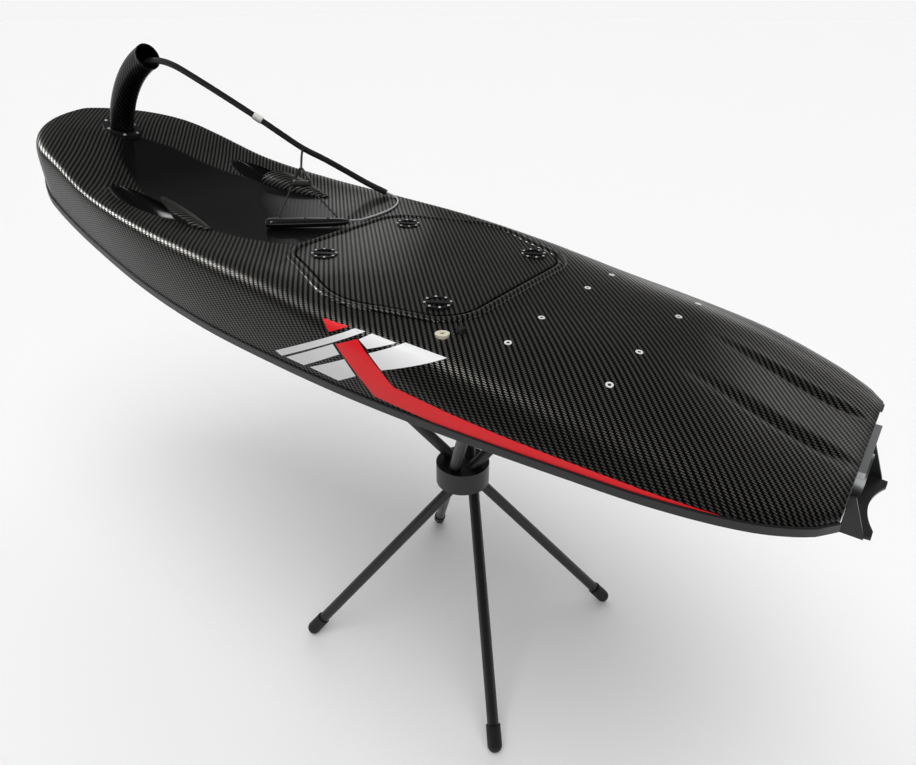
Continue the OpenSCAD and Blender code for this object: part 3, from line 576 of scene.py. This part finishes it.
def paint_mask(obj, deck=True):
    """Marks the plain places, and the steep sides that get painted shade, for the carbon material."""
    plain_values, side_shade_values = [], []
    for v in obj.data.vertices:
        x, y, z = v.co / MM
        share = 0.0
        if deck and v.normal.z > FACES_UP:
            share = plain_share(x, y)
            if RAMP_FROM < x < RAMP_TO and abs(abs(y) - SCOOP_Y) < RAMP_SIDE:
                share = max(share, ramp_share(x, y, z))
        plain_values.append(share)
        aft = smooth((STEEP_AFT - x) / STEEP_AFT_RUN)
        below, soft = STEEP_BELOW + STEEP_BELOW_MORE * aft, STEEP_SOFT - STEEP_SOFT_LESS * aft
        side_shade_values.append(smooth((below - v.normal.z) / soft))
    for name, values in (("plain", plain_values), ("painted_side_shade", side_shade_values)):
        obj.data.attributes.new(name, "FLOAT", "POINT").data.foreach_set("value", values)


# Scoops beside the front well, after the part's source: [from the transom, half width, height]
SCOOP_Y = 158
SCOOP_LIFT = 0.8
SCOOP_WALL = 3
SCOOP_ROWS = np.array([[1150, 3, 2], [1180, 14, 8], [1215, 22, 15], [1250, 28, 21], [1290, 32, 26],
                       [1330, 34, 29]], float)
HOLLOW_ROWS = np.array([[1190, 5, 2.5], [1220, 16, 10], [1250, 23, 16], [1290, 28, 22], [1331, 31, 26]], float)
RAMP_ROWS = np.array([[1200, 6, 0.5], [1225, 17, 7], [1260, 25, 16], [1300, 30, 24], [1335, 33, 29],
                      [1370, 34, 28], [1410, 32, 20], [1440, 25, 10], [1470, 10, 0]], float)
# The hood's mouth runs obliquely, from its inboard front corner back along its outboard side:
# [from the transom, y]
MOUTH = [(1336, 122), (1300, 158), (1240, 176), (1196, 172), (1190, 215), (1345, 215)]
MOUTH_TALL = 400
SCOOP_STEPS = 30
ARCH_FOOT = 0.5
ARCH_ACROSS = np.linspace(-1, 1, 13)
ARCH_TURNS = np.radians(np.arange(10, 171, 10))
TROUGH_TURNS = np.radians(np.arange(180, 361, 10))
TROUGH_TALL = 80
HOOD_EDGE = 0.8


def arch(x, y, w, h, foot):
    low = [(x, y + w * k, deck_at(x, y + w * k) + foot) for k in ARCH_ACROSS]
    top = []
    for a in ARCH_TURNS:
        v = y + w * math.cos(a)
        top.append((x, v, deck_at(x, v) + foot + ARCH_FOOT + h * math.sin(a)))
    return low + top


def trough(x, y, w, h):
    low = []
    for a in TROUGH_TURNS:
        v = y + w * math.cos(a)
        low.append((x, v, deck_at(x, v) + min(0, h * math.sin(a))))
    return low + [(x, v, deck_at(x, v) + TROUGH_TALL) for v in (y + w, y - w)]


def through(name, rows, ring, material):
    """Solid through the rows of a table, read smoothly."""
    places = np.linspace(rows[0, 0], rows[-1, 0], SCOOP_STEPS)
    rings = [ring(u + TRANSOM, table_at(rows, u, 1), table_at(rows, u, 2)) for u in places]
    return ring_mesh(name, rings, material)


def make_scoop(name, side):
    y = side * SCOOP_Y
    hood = through(name + "_skin", SCOOP_ROWS, lambda x, w, h: arch(x, y, w, h, SCOOP_LIFT), CARBON_PLAIN)
    hollow = through("cutter", HOLLOW_ROWS, lambda x, w, h: arch(x, y, w, h, SCOOP_LIFT - SCOOP_WALL),
                     CARBON_PLAIN)
    mouth = [(u + TRANSOM, side * v) for u, v in MOUTH]
    wedge = prism([(*q, BOARD_Z) for q in mouth], [(*q, BOARD_Z + MOUTH_TALL) for q in mouth], RUBBER)
    boolean(hood, [hollow, wedge], "DIFFERENCE")
    bevel(hood, HOOD_EDGE)
    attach(hood, "board")
    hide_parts(name)


# How far the hatch's cutters reach above the deck, the sections kept round it, and its edge
SEAT_TALL, HATCH_TALL = 80, 60
HATCH_MARGIN = 60
HATCH_EDGE = 1.6


def make_board():
    deck = ring_mesh("deck_skin", [deck_ring(x) for x in PLACES], CARBON)
    ramps = [through("cutter", RAMP_ROWS, lambda x, w, h: trough(x, side * SCOOP_Y, w, h), CARBON)
             for side in (-1, 1)]
    boolean(deck, [hatch_prism(HATCH_GAP, -HATCH_T, SEAT_TALL)] + ramps, "DIFFERENCE")
    paint_mask(deck)
    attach(deck, "board")
    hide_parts("deck_shell")
    near = [x for x in PLACES if HATCH_X0 - HATCH_MARGIN < x < HATCH_X0 + HATCH_LEN + HATCH_MARGIN]
    hatch = ring_mesh("hatch_skin", [deck_ring(x, HATCH_PROUD) for x in near], CARBON)
    boolean(hatch, [hatch_prism(0, REST_GAP - HATCH_T, HATCH_TALL)], "INTERSECT")
    paint_mask(hatch, deck=False)
    bevel(hatch, HATCH_EDGE)
    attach(hatch, "hatch")
    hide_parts("hatch_cover")


def loop_mesh(name, line, section, material, closed, uv=False):
    """Sweep of a section [out, up] along a line of [point, outward direction]."""
    verts = [tuple(np.array(p) + a * np.array(n) + (0, 0, b)) for p, n in line for a, b in section]
    m, n = len(line), len(section)
    faces = tube_faces(m, n, closed) + ([] if closed else end_faces(m, n))
    obj = new_object(name, verts, faces, material, uv=plan_uv(verts) if uv else None)
    tidy_normals(obj)
    return obj


def outward(points, closed):
    """Directions square to a line in plan, to the left of the way it runs."""
    q = np.array(points)[:, :2]
    d = np.roll(q, -1, axis=0) - np.roll(q, 1, axis=0)
    if not closed:
        d[0], d[-1] = q[1] - q[0], q[-1] - q[-2]
    d /= np.linalg.norm(d, axis=1)[:, None]
    return [(-v[1], v[0], 0.0) for v in d]


# Edge band, as in the part's source, reaching a little inwards under the skins: [out, up]
BAND_H, BAND_DROP, BAND_IN = 14, 4, 5
BAND_OUT, BAND_TOP = REST_GAP + BAND_T, BAND_H - BAND_DROP
BAND_SECTION = [(-BAND_IN, -BAND_DROP), (BAND_OUT - 1, -BAND_DROP), (BAND_OUT, 1 - BAND_DROP),
                (BAND_OUT, BAND_TOP - 1.4), (BAND_OUT - 1.2, BAND_TOP), (REST_GAP, BAND_TOP),
                (-BAND_IN, BAND_TOP - 6)]
# Raised roll round the hatch: from and to outside its edge, its height, and how far it sinks in
ROLL_FROM, ROLL_TO, ROLL_RISE = 3.5, 20, 4.5
ROLL_SINK = -0.4
ROLL_TURNS = np.linspace(0, 2 * math.pi, 24, endpoint=False)


def make_trim():
    port = [(x, width_at(x, BEAM), height_at(x, CHINE)) for x in PLACES]
    edge = port + [(x, -y, z) for x, y, z in port[::-1]]
    band = loop_mesh("band_skin", list(zip(edge, outward(edge, False))), BAND_SECTION, SATIN, False)
    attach(band, "board")
    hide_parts("edge_band")
    middle, reach = (ROLL_FROM + ROLL_TO) / 2, (ROLL_TO - ROLL_FROM) / 2
    line = [(x, y, deck_at(x, y)) for x, y in hatch_outline(middle)]
    section = [(reach * math.cos(a), ROLL_RISE * max(math.sin(a), ROLL_SINK)) for a in ROLL_TURNS]
    roll = loop_mesh("hatch_roll", list(zip(line, outward(line, True))), section, CARBON_PLAIN, True, uv=True)
    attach(roll, "board")


make_board()
make_trim()
make_scoop("scoop_port", 1)
make_scoop("scoop_starboard", -1)


# Snorkel, as in the part's source
SNORKEL_BACK, SLOPE_SPAN = 146, 30
SNORKEL_X = TRANSOM + BOARD_LEN - SNORKEL_BACK
SNORKEL_SLOPE = math.atan2(deck_at(SNORKEL_X + SLOPE_SPAN, 0) - deck_at(SNORKEL_X - SLOPE_SPAN, 0),
                           2 * SLOPE_SPAN)
SNORKEL_R, SNORKEL_WALL, SNORKEL_BEND = 27, 3, 270
SNORKEL_TURN = math.radians(50)
SNORKEL_POINTS, SNORKEL_STEPS = 72, 30
# The tube is this much slimmer than its mouth's lip, and has a low seam on its rear face
SLIMMER = 0.5
SEAM_RISE, SEAM_W = 0.5, 0.09
FLANGE_T, FLANGE_SINK, FLANGE_LIP, FLANGE_LONG = 6, 6, 10, 16


def in_snorkel_frame(x, y, z):
    c, s = math.cos(SNORKEL_SLOPE), math.sin(SNORKEL_SLOPE)
    return (SNORKEL_X + c * x - s * z, y, deck_at(SNORKEL_X, 0) + s * x + c * z)


def snorkel_ring(run, r):
    """Circle round the tube at the distance run above its flange, with a raised seam on its rear face."""
    a = max(0, run) / SNORKEL_BEND
    ahead, high = SNORKEL_BEND * (math.cos(a) - 1), FLANGE_T + SNORKEL_BEND * math.sin(a) + min(0, run)
    ring = []
    for k in range(SNORKEL_POINTS):
        w = 2 * math.pi * (k + 0.5) / SNORKEL_POINTS
        seam = SEAM_RISE * math.exp(-((w - math.pi) / SEAM_W) ** 2)
        out = r + seam if r > SNORKEL_R - SLIMMER else r
        across = out * math.cos(w)
        ring.append(in_snorkel_frame(ahead + across * math.cos(a), out * math.sin(w),
                                     high + across * math.sin(a)))
    return ring


def make_snorkel():
    end = SNORKEL_BEND * SNORKEL_TURN
    inner, outer = SNORKEL_R - SNORKEL_WALL, SNORKEL_R - SLIMMER
    runs = np.concatenate([[REST_GAP - FLANGE_SINK - FLANGE_T, 0], np.linspace(6, end - 8, SNORKEL_STEPS)])
    lip = [(end - 7, outer), (end - 6, SNORKEL_R), (end - 1, SNORKEL_R), (end - 0.2, SNORKEL_R - 0.8),
           (end - 0.2, inner + 0.8), (end - 1, inner)]
    profile = [(r, outer) for r in runs] + lip + [(r, inner) for r in runs[::-1]]
    verts = [p for run, r in profile for p in snorkel_ring(run, r)]
    n = SNORKEL_POINTS
    uv = [(run * MM, (k + 0.5) / n * 2 * math.pi * SNORKEL_R * MM) for run, r in profile for k in range(n)]
    tube = new_object("snorkel_skin", verts, tube_faces(len(profile), n, True), CARBON_DIM, uv=uv)
    tidy_normals(tube)
    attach(tube, "board")
    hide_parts("snorkel_tube")


# Small fittings; a bolt head's rows are shares of [radius, height]
HEAD_ROWS = [(1, 0.35), (0.86, 0.75), (0.55, 1), (0.45, 1), (0.42, 0.35)]
HEAD_SINK = 0.6


def dome(name, place, up, r, rise, material, body, n=16):
    """Domed bolt head with a key hole, standing on a surface."""
    rows = [(r, -HEAD_SINK)] + [(q * r, h * rise) for q, h in HEAD_ROWS]
    verts = turned(Vector(place), Vector(up).normalized(), rows, n)
    obj = new_object(name, verts, tube_faces(len(rows), n, False) + end_faces(len(rows), n), material)
    tidy_normals(obj)
    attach(obj, body)


FLANGE_BOLTS, BOLT_R, BOLT_RISE = 6, 3.2, 2.2
BOLT_SHARE = 0.55
LATCHES = [(884, 117), (884, -117), (608, 147), (608, -147)]
LATCH_R, LATCH_RISE, LATCH_RIM = 23, 3, 2
# Painted glints: a ring of small bright studs round each latch stands in for the glints off its knurled ring
LATCH_GLINT_STUDS, STUD_R, STUD_RISE, STUD_POINTS = 8, 2.2, 1.0, 12


def make_fittings():
    up = Vector(in_snorkel_frame(0, 0, 1)) - Vector(in_snorkel_frame(0, 0, 0))
    reach = SNORKEL_R + BOLT_SHARE * FLANGE_LIP
    for k in range(FLANGE_BOLTS):
        w = 2 * math.pi * (k + 0.5) / FLANGE_BOLTS
        x = reach * math.cos(w) + math.copysign(FLANGE_LONG / 2, math.cos(w)) * (abs(math.cos(w)) > 0.01)
        dome(f"flange_bolt_{k + 1}", in_snorkel_frame(x, reach * math.sin(w), FLANGE_T), up, BOLT_R, BOLT_RISE,
             STEEL_AND_GLINT, "board")
    tilt = Vector((-math.sin(HATCH_SLOPE), 0, math.cos(HATCH_SLOPE)))
    ahead = Vector((math.cos(HATCH_SLOPE), 0, math.sin(HATCH_SLOPE)))
    for i, (u, y) in enumerate(LATCHES):
        x = TRANSOM + u
        middle = Vector((x, y, deck_at(x, y) + HATCH_PROUD)) + LATCH_RISE * tilt
        for k in range(LATCH_GLINT_STUDS):
            w = 2 * math.pi * k / LATCH_GLINT_STUDS
            place = middle + (LATCH_R - LATCH_RIM) * (math.cos(w) * ahead + math.sin(w) * Vector((0, 1, 0)))
            dome(f"latch_{i + 1}_glint_stud_{k + 1}", place, tilt, STUD_R, STUD_RISE, STEEL_AND_GLINT, "hatch",
                 n=STUD_POINTS)


# Grip, flattened, broad in front and drawn out at its rear end
GRIP_R = 12
GRIP_HIGH = GRIP_R - 2
GRIP_FRONT, GRIP_REAR = (196, 66), (90, -31)
# [share of the length, half width, half height]
GRIP_ROWS = np.array([[-0.06, 13, 6.5], [0.0, 16, 8.5], [0.1, 17, 8.6], [0.2, 16.5, 8.6], [0.5, 15, 8.4],
                      [0.8, 12, 8], [0.92, 9, 7.4], [1.0, 6, 6], [1.06, 3.4, 4.2]], float)
GRIP_STEPS, GRIP_POINTS = 40, 32
GRIP_EDGE = 1.5
# Below 1 the section is squarer than an ellipse
GRIP_SQUARE = 0.75
GRIP_SCREWS = (0.47, 0.78)
SCREW_R, SCREW_RISE, SCREW_SINK = 3, 1.0, 0.2


def squared(c):
    return math.copysign(abs(c) ** GRIP_SQUARE, c)


def make_grip():
    ends = [np.array((x, y, deck_at(x, y) + REST_GAP)) for x, y in (GRIP_FRONT, GRIP_REAR)]
    run = ends[1] - ends[0]
    side = np.cross((0, 0, 1), run)
    side = side / np.linalg.norm(side)
    up = np.cross(run, side)
    up = up / np.linalg.norm(up)
    rings = []
    for t in np.linspace(GRIP_ROWS[0, 0], GRIP_ROWS[-1, 0], GRIP_STEPS):
        w, h = table_at(GRIP_ROWS, t, 1), table_at(GRIP_ROWS, t, 2)
        middle = ends[0] + run * t + up * GRIP_HIGH
        rings.append([tuple(middle + side * w * squared(math.cos(a)) + up * h * squared(math.sin(a)))
                      for a in np.linspace(0, 2 * math.pi, GRIP_POINTS, endpoint=False)])
    grip = ring_mesh("grip_skin", rings, GLOSS)
    bevel(grip, GRIP_EDGE)
    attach(grip, "board")
    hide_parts("handle_grip")
    for k, t in enumerate(GRIP_SCREWS):
        place = ends[0] + run * t + up * (GRIP_HIGH + table_at(GRIP_ROWS, t, 2) - SCREW_SINK)
        dome(f"grip_screw_{k + 1}", tuple(place), tuple(up), SCREW_R, SCREW_RISE, PLASTIC, "board")


# Strap inserts: washers square to the deck, [from the transom, name of the row]
INSERT_ROWS = [(461, "deck_inserts_front"), (301, "deck_inserts_rear")]
INSERT_YS = [-174, -78, 78, 174]
INSERT_R, INSERT_HOLE, INSERT_RISE, INSERT_LOW = 5.6, 2.5, 0.9, -5
INSERT_EDGE = 0.5
INSERT_POINTS = 28
TILT_SPAN = 5


def deck_normal(x, y):
    d = TILT_SPAN
    return Vector(((deck_at(x - d, y) - deck_at(x + d, y)) / (2 * d),
                   (deck_at(x, y - d) - deck_at(x, y + d)) / (2 * d), 1)).normalized()


def make_inserts():
    half = 0.5 * INSERT_RISE
    rows = [(INSERT_R, INSERT_LOW), (INSERT_R, half), (INSERT_R - INSERT_EDGE, INSERT_RISE),
            (INSERT_HOLE + INSERT_EDGE, INSERT_RISE), (INSERT_HOLE, half), (INSERT_HOLE, INSERT_LOW)]
    for u, name in INSERT_ROWS:
        x = TRANSOM + u
        verts, faces = [], []
        for y in INSERT_YS:
            faces += tube_faces(len(rows), INSERT_POINTS, True, first=len(verts))
            verts += turned(Vector((x, y, deck_at(x, y))), deck_normal(x, y), rows, INSERT_POINTS)
        obj = new_object(name + "_washers", verts, faces, WHITE_INSERT)
        tidy_normals(obj)
        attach(obj, "board")
        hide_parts(name)


# Light clip on the tether, between two points of its route: [radius, share of its length]
CLIP_ENDS = ((411, -100.2, 1036.7), (397, -110.2, 1024.9))
CLIP_ROWS = [(6.7, -0.5), (7.4, -0.5), (8.0, -0.3), (8.0, 0.3), (7.4, 0.5), (6.7, 0.5)]
CLIP_POINTS = 24


def make_clip():
    a, b = (Vector(p) for p in CLIP_ENDS)
    run = b - a
    rows = [(r, t * run.length) for r, t in CLIP_ROWS]
    clip = new_object("tether_clip", turned((a + b) / 2, run.normalized(), rows, CLIP_POINTS),
                      tube_faces(len(rows), CLIP_POINTS, True), WHITE_INSERT)
    tidy_normals(clip)
    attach(clip, "board")


make_snorkel()
make_fittings()
make_grip()
make_inserts()
make_clip()


# Painted stripes on both sides: rows of [x, z] corners in millimetres, walked round each patch
PATCHES = {
    "slash_white_1": (WHITE, [(-57, 755), (-72, 750), (-240, 829), (-221, 830)]),
    "slash_white_2": (WHITE, [(-83, 751), (-126, 750), (-207, 792), (-192, 804)]),
    "slash_white_3": (WHITE, [(-140, 751), (-204, 748), (-241, 767), (-217, 787)]),
    "slash_white_4": (WHITE, [(-237, 820), (-256, 811), (-294, 823), (-251, 828)]),
    "slash_white_5": (WHITE, [(-260, 806), (-287, 788), (-374, 816), (-305, 824)]),
    "slash_red_1": (RED, [(-161, 834), (-181, 819), (-210, 831)]),
    "slash_red_2": (RED, [(-197, 805), (-277, 745), (-311, 770), (-234, 820)])}
STRIPE_TOP = [(-311, 770), (-408, 759), (-489, 752), (-575, 746), (-655, 741), (-727, 734), (-771, 729)]
STRIPE_LOW = [(-277, 745), (-396, 737), (-492, 735), (-578, 731), (-657, 730), (-727, 730), (-771, 728.5)]
PAINT_LIFT = 0.25
# How many points of a section inside the rim a patch may reach, and the patches' meshes
OVER_RIM = 6
PATCH_ROWS, PATCH_COLS = 10, 24
STRIPE_ROWS, STRIPE_COLS = 6, 60


def on_side(x, z, hand):
    """Point just outside the side at the place x and height z."""
    line = skin_half(x)[RIM - OVER_RIM:]
    y = np.interp(-z, -line[:, 1], line[:, 0])
    k = int(np.clip(np.searchsorted(-line[:, 1], -z), 1, len(line) - 1))
    d = line[k] - line[k - 1]
    n = np.array([-d[1], d[0]]) / np.linalg.norm(d)
    return (x, hand * (y + PAINT_LIFT * n[0]), z + PAINT_LIFT * n[1])


def patch(name, material, top, low, hand, rows=PATCH_ROWS, cols=PATCH_COLS):
    """Painted patch between two lines of [x, z] points."""
    def along(line, s):
        q = np.array(line, float)
        d = travel(q)
        return np.array([np.interp(s * d[-1], d, q[:, 0]), np.interp(s * d[-1], d, q[:, 1])])
    verts = []
    for i in range(cols + 1):
        a, b = along(top, i / cols), along(low, i / cols)
        for j in range(rows + 1):
            p = a + (b - a) * j / rows
            verts.append(on_side(p[0], p[1], hand))
    n = rows + 1
    faces = [(i * n + j, (i + 1) * n + j, (i + 1) * n + j + 1, i * n + j + 1)
             for i in range(cols) for j in range(rows)]
    if hand > 0:
        faces = [f[::-1] for f in faces]
    obj = new_object(name, verts, faces, material)
    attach(obj, "board")


def make_stripes():
    for side, hand in (("port", 1), ("starboard", -1)):
        for name, (material, q) in PATCHES.items():
            q = q if len(q) == 4 else q + [q[-1]]
            patch(f"{name}_{side}", material, [q[0], q[3]], [q[1], q[2]], hand)
        patch(f"stripe_red_{side}", RED, STRIPE_TOP, STRIPE_LOW, hand, STRIPE_ROWS, STRIPE_COLS)


make_stripes()

# Materials of the nodes that keep their solids
LOOKS = {
    "hull_shell": GELCOAT, "engine_block": CAST, "snorkel_flange": PLASTIC, "filler_plug": CREAM,
    "vent_cap": PLASTIC, "intake_grate": METAL, "impeller": METAL, "pump_nozzle": METAL, "stern_cowl": SATIN,
    "transom_strip": METAL, "bridle_ring": RING, "bridle_spreader": PLASTIC, "stand_hub": PLASTIC}
for i in range(1, 5):
    LOOKS[f"hatch_latch_{i}"] = PLASTIC
    LOOKS[f"stand_tube_{i}"] = POWDER
    LOOKS[f"foot_cap_{i}"] = RUBBER
    LOOKS[f"top_cap_{i}"] = RUBBER
for name, material in LOOKS.items():
    nodes[name].data.materials.clear()
    nodes[name].data.materials.append(material)
    shade(nodes[name], NODE_SMOOTH_ANGLE)


# Floor, lights and world; the floor's two greys are for scattered light, and for the camera and reflections
FLOOR_HALF = 60
FLOOR_LIT, FLOOR_SEEN = (0.35, 0.35, 0.35, 1), (0.93, 0.93, 0.93, 1)
GLOW_SOFT = 0.05
# Strength of the world at the horizon and overhead, and the height at which it is dim
HORIZON, OVERHEAD, DIM_FROM = 0.92, 0.08, 0.22


def panel(name, w, h, material):
    """Flat rectangle, w and h to each side of its middle."""
    mesh = bpy.data.meshes.new(name)
    mesh.from_pydata([(-w, -h, 0), (w, -h, 0), (w, h, 0), (-w, h, 0)], [], [(0, 1, 2, 3)])
    mesh.materials.append(material)
    obj = bpy.data.objects.new(name, mesh)
    bpy.context.collection.objects.link(obj)
    return obj


def make_stage():
    m = Nodes("floor_white", Roughness=0.9, Specular_IOR_Level=0.1)
    path = m.add("ShaderNodeLightPath")
    seen = m.math("MAXIMUM", path.outputs["Is Camera Ray"], path.outputs["Is Glossy Ray"])
    seen = m.math("MAXIMUM", seen, path.outputs["Is Transmission Ray"])
    m.to("Base Color", m.mix(seen, FLOOR_LIT, FLOOR_SEEN))
    floor = panel("floor", FLOOR_HALF, FLOOR_HALF, m.mat)


def sun(name, toward, strength, angle):
    """Wide soft light from a direction; it lights surfaces and leaves no spot on the gloss."""
    data = bpy.data.lights.new(name, "SUN")
    data.energy = strength
    data.angle = math.radians(angle)
    obj = bpy.data.objects.new(name, data)
    obj.rotation_euler = Vector(toward).to_track_quat("Z", "Y").to_euler()
    obj.visible_glossy = False
    bpy.context.collection.objects.link(obj)


def softbox(name, place, aim, size, strength):
    """Glowing panel with soft edges, seen only in reflections."""
    m = Nodes(name + "_glow", Base_Color=(0, 0, 0, 1), Specular_IOR_Level=0.0, Emission_Color=(1, 1, 1, 1))
    place_at = m.add("ShaderNodeSeparateXYZ")
    m.tree.links.new(m.add("ShaderNodeTexCoord").outputs["Generated"], place_at.inputs[0])
    glow = strength
    for axis in (0, 1):
        off = m.math("ABSOLUTE", m.math("MULTIPLY_ADD", place_at.outputs[axis], 2.0, -1.0))
        fall = m.math("SUBTRACT", 1.0, m.math("POWER", off, 2.0))
        glow = m.math("MULTIPLY", m.math("SMOOTH_MAX", fall, 0.0, GLOW_SOFT), glow)
    m.to("Emission Strength", glow)
    obj = panel(name, size[0] / 2, size[1] / 2, m.mat)
    obj.location = place
    obj.rotation_euler = (Vector(aim) - Vector(place)).to_track_quat("Z", "Y").to_euler()
    obj.visible_camera = False
    obj.visible_diffuse = False
    obj.visible_shadow = False


def make_world():
    """Pale at the horizon and dim overhead."""
    world = bpy.data.worlds.new("studio")
    bpy.context.scene.world = world
    world.use_nodes = True
    tree = world.node_tree
    where = tree.nodes.new("ShaderNodeTexCoord")
    parts = tree.nodes.new("ShaderNodeSeparateXYZ")
    fade = tree.nodes.new("ShaderNodeMapRange")
    fade.interpolation_type = "SMOOTHSTEP"
    for key, value in (("From Min", 0.0), ("From Max", DIM_FROM), ("To Min", HORIZON), ("To Max", OVERHEAD)):
        fade.inputs[key].default_value = value
    tree.links.new(where.outputs["Generated"], parts.inputs[0])
    tree.links.new(parts.outputs[2], fade.inputs["Value"])
    tree.links.new(fade.outputs["Result"], tree.nodes["Background"].inputs["Strength"])
    tree.nodes["Background"].inputs["Color"].default_value = (1, 1, 1, 1)


make_stage()
make_world()
sun("key", (-0.3, 0.35, 0.88), 1.9, 60)
sun("fill", (0.4, -0.3, 0.86), 1.45, 90)
softbox("box_front", (2.9, 0.7, 2.5), (0.2, 0.2, 0.87), (1.4, 1.4), 12.0)
softbox("box_shoulder", (0.5, 0.55, 2.95), (-0.5, 0.2, 0.79), (0.6, 0.3), 16.0)
softbox("box_hatch", (1.35, -1.4, 1.55), (0.05, 0.0, 0.85), (0.8, 0.7), 0.9)
softbox("box_tail", (-1.45, -2.2, 1.85), (-0.85, 0.0, 0.74), (2.0, 0.5), 1.2)

bpy.context.scene.view_settings.view_transform = "Standard"
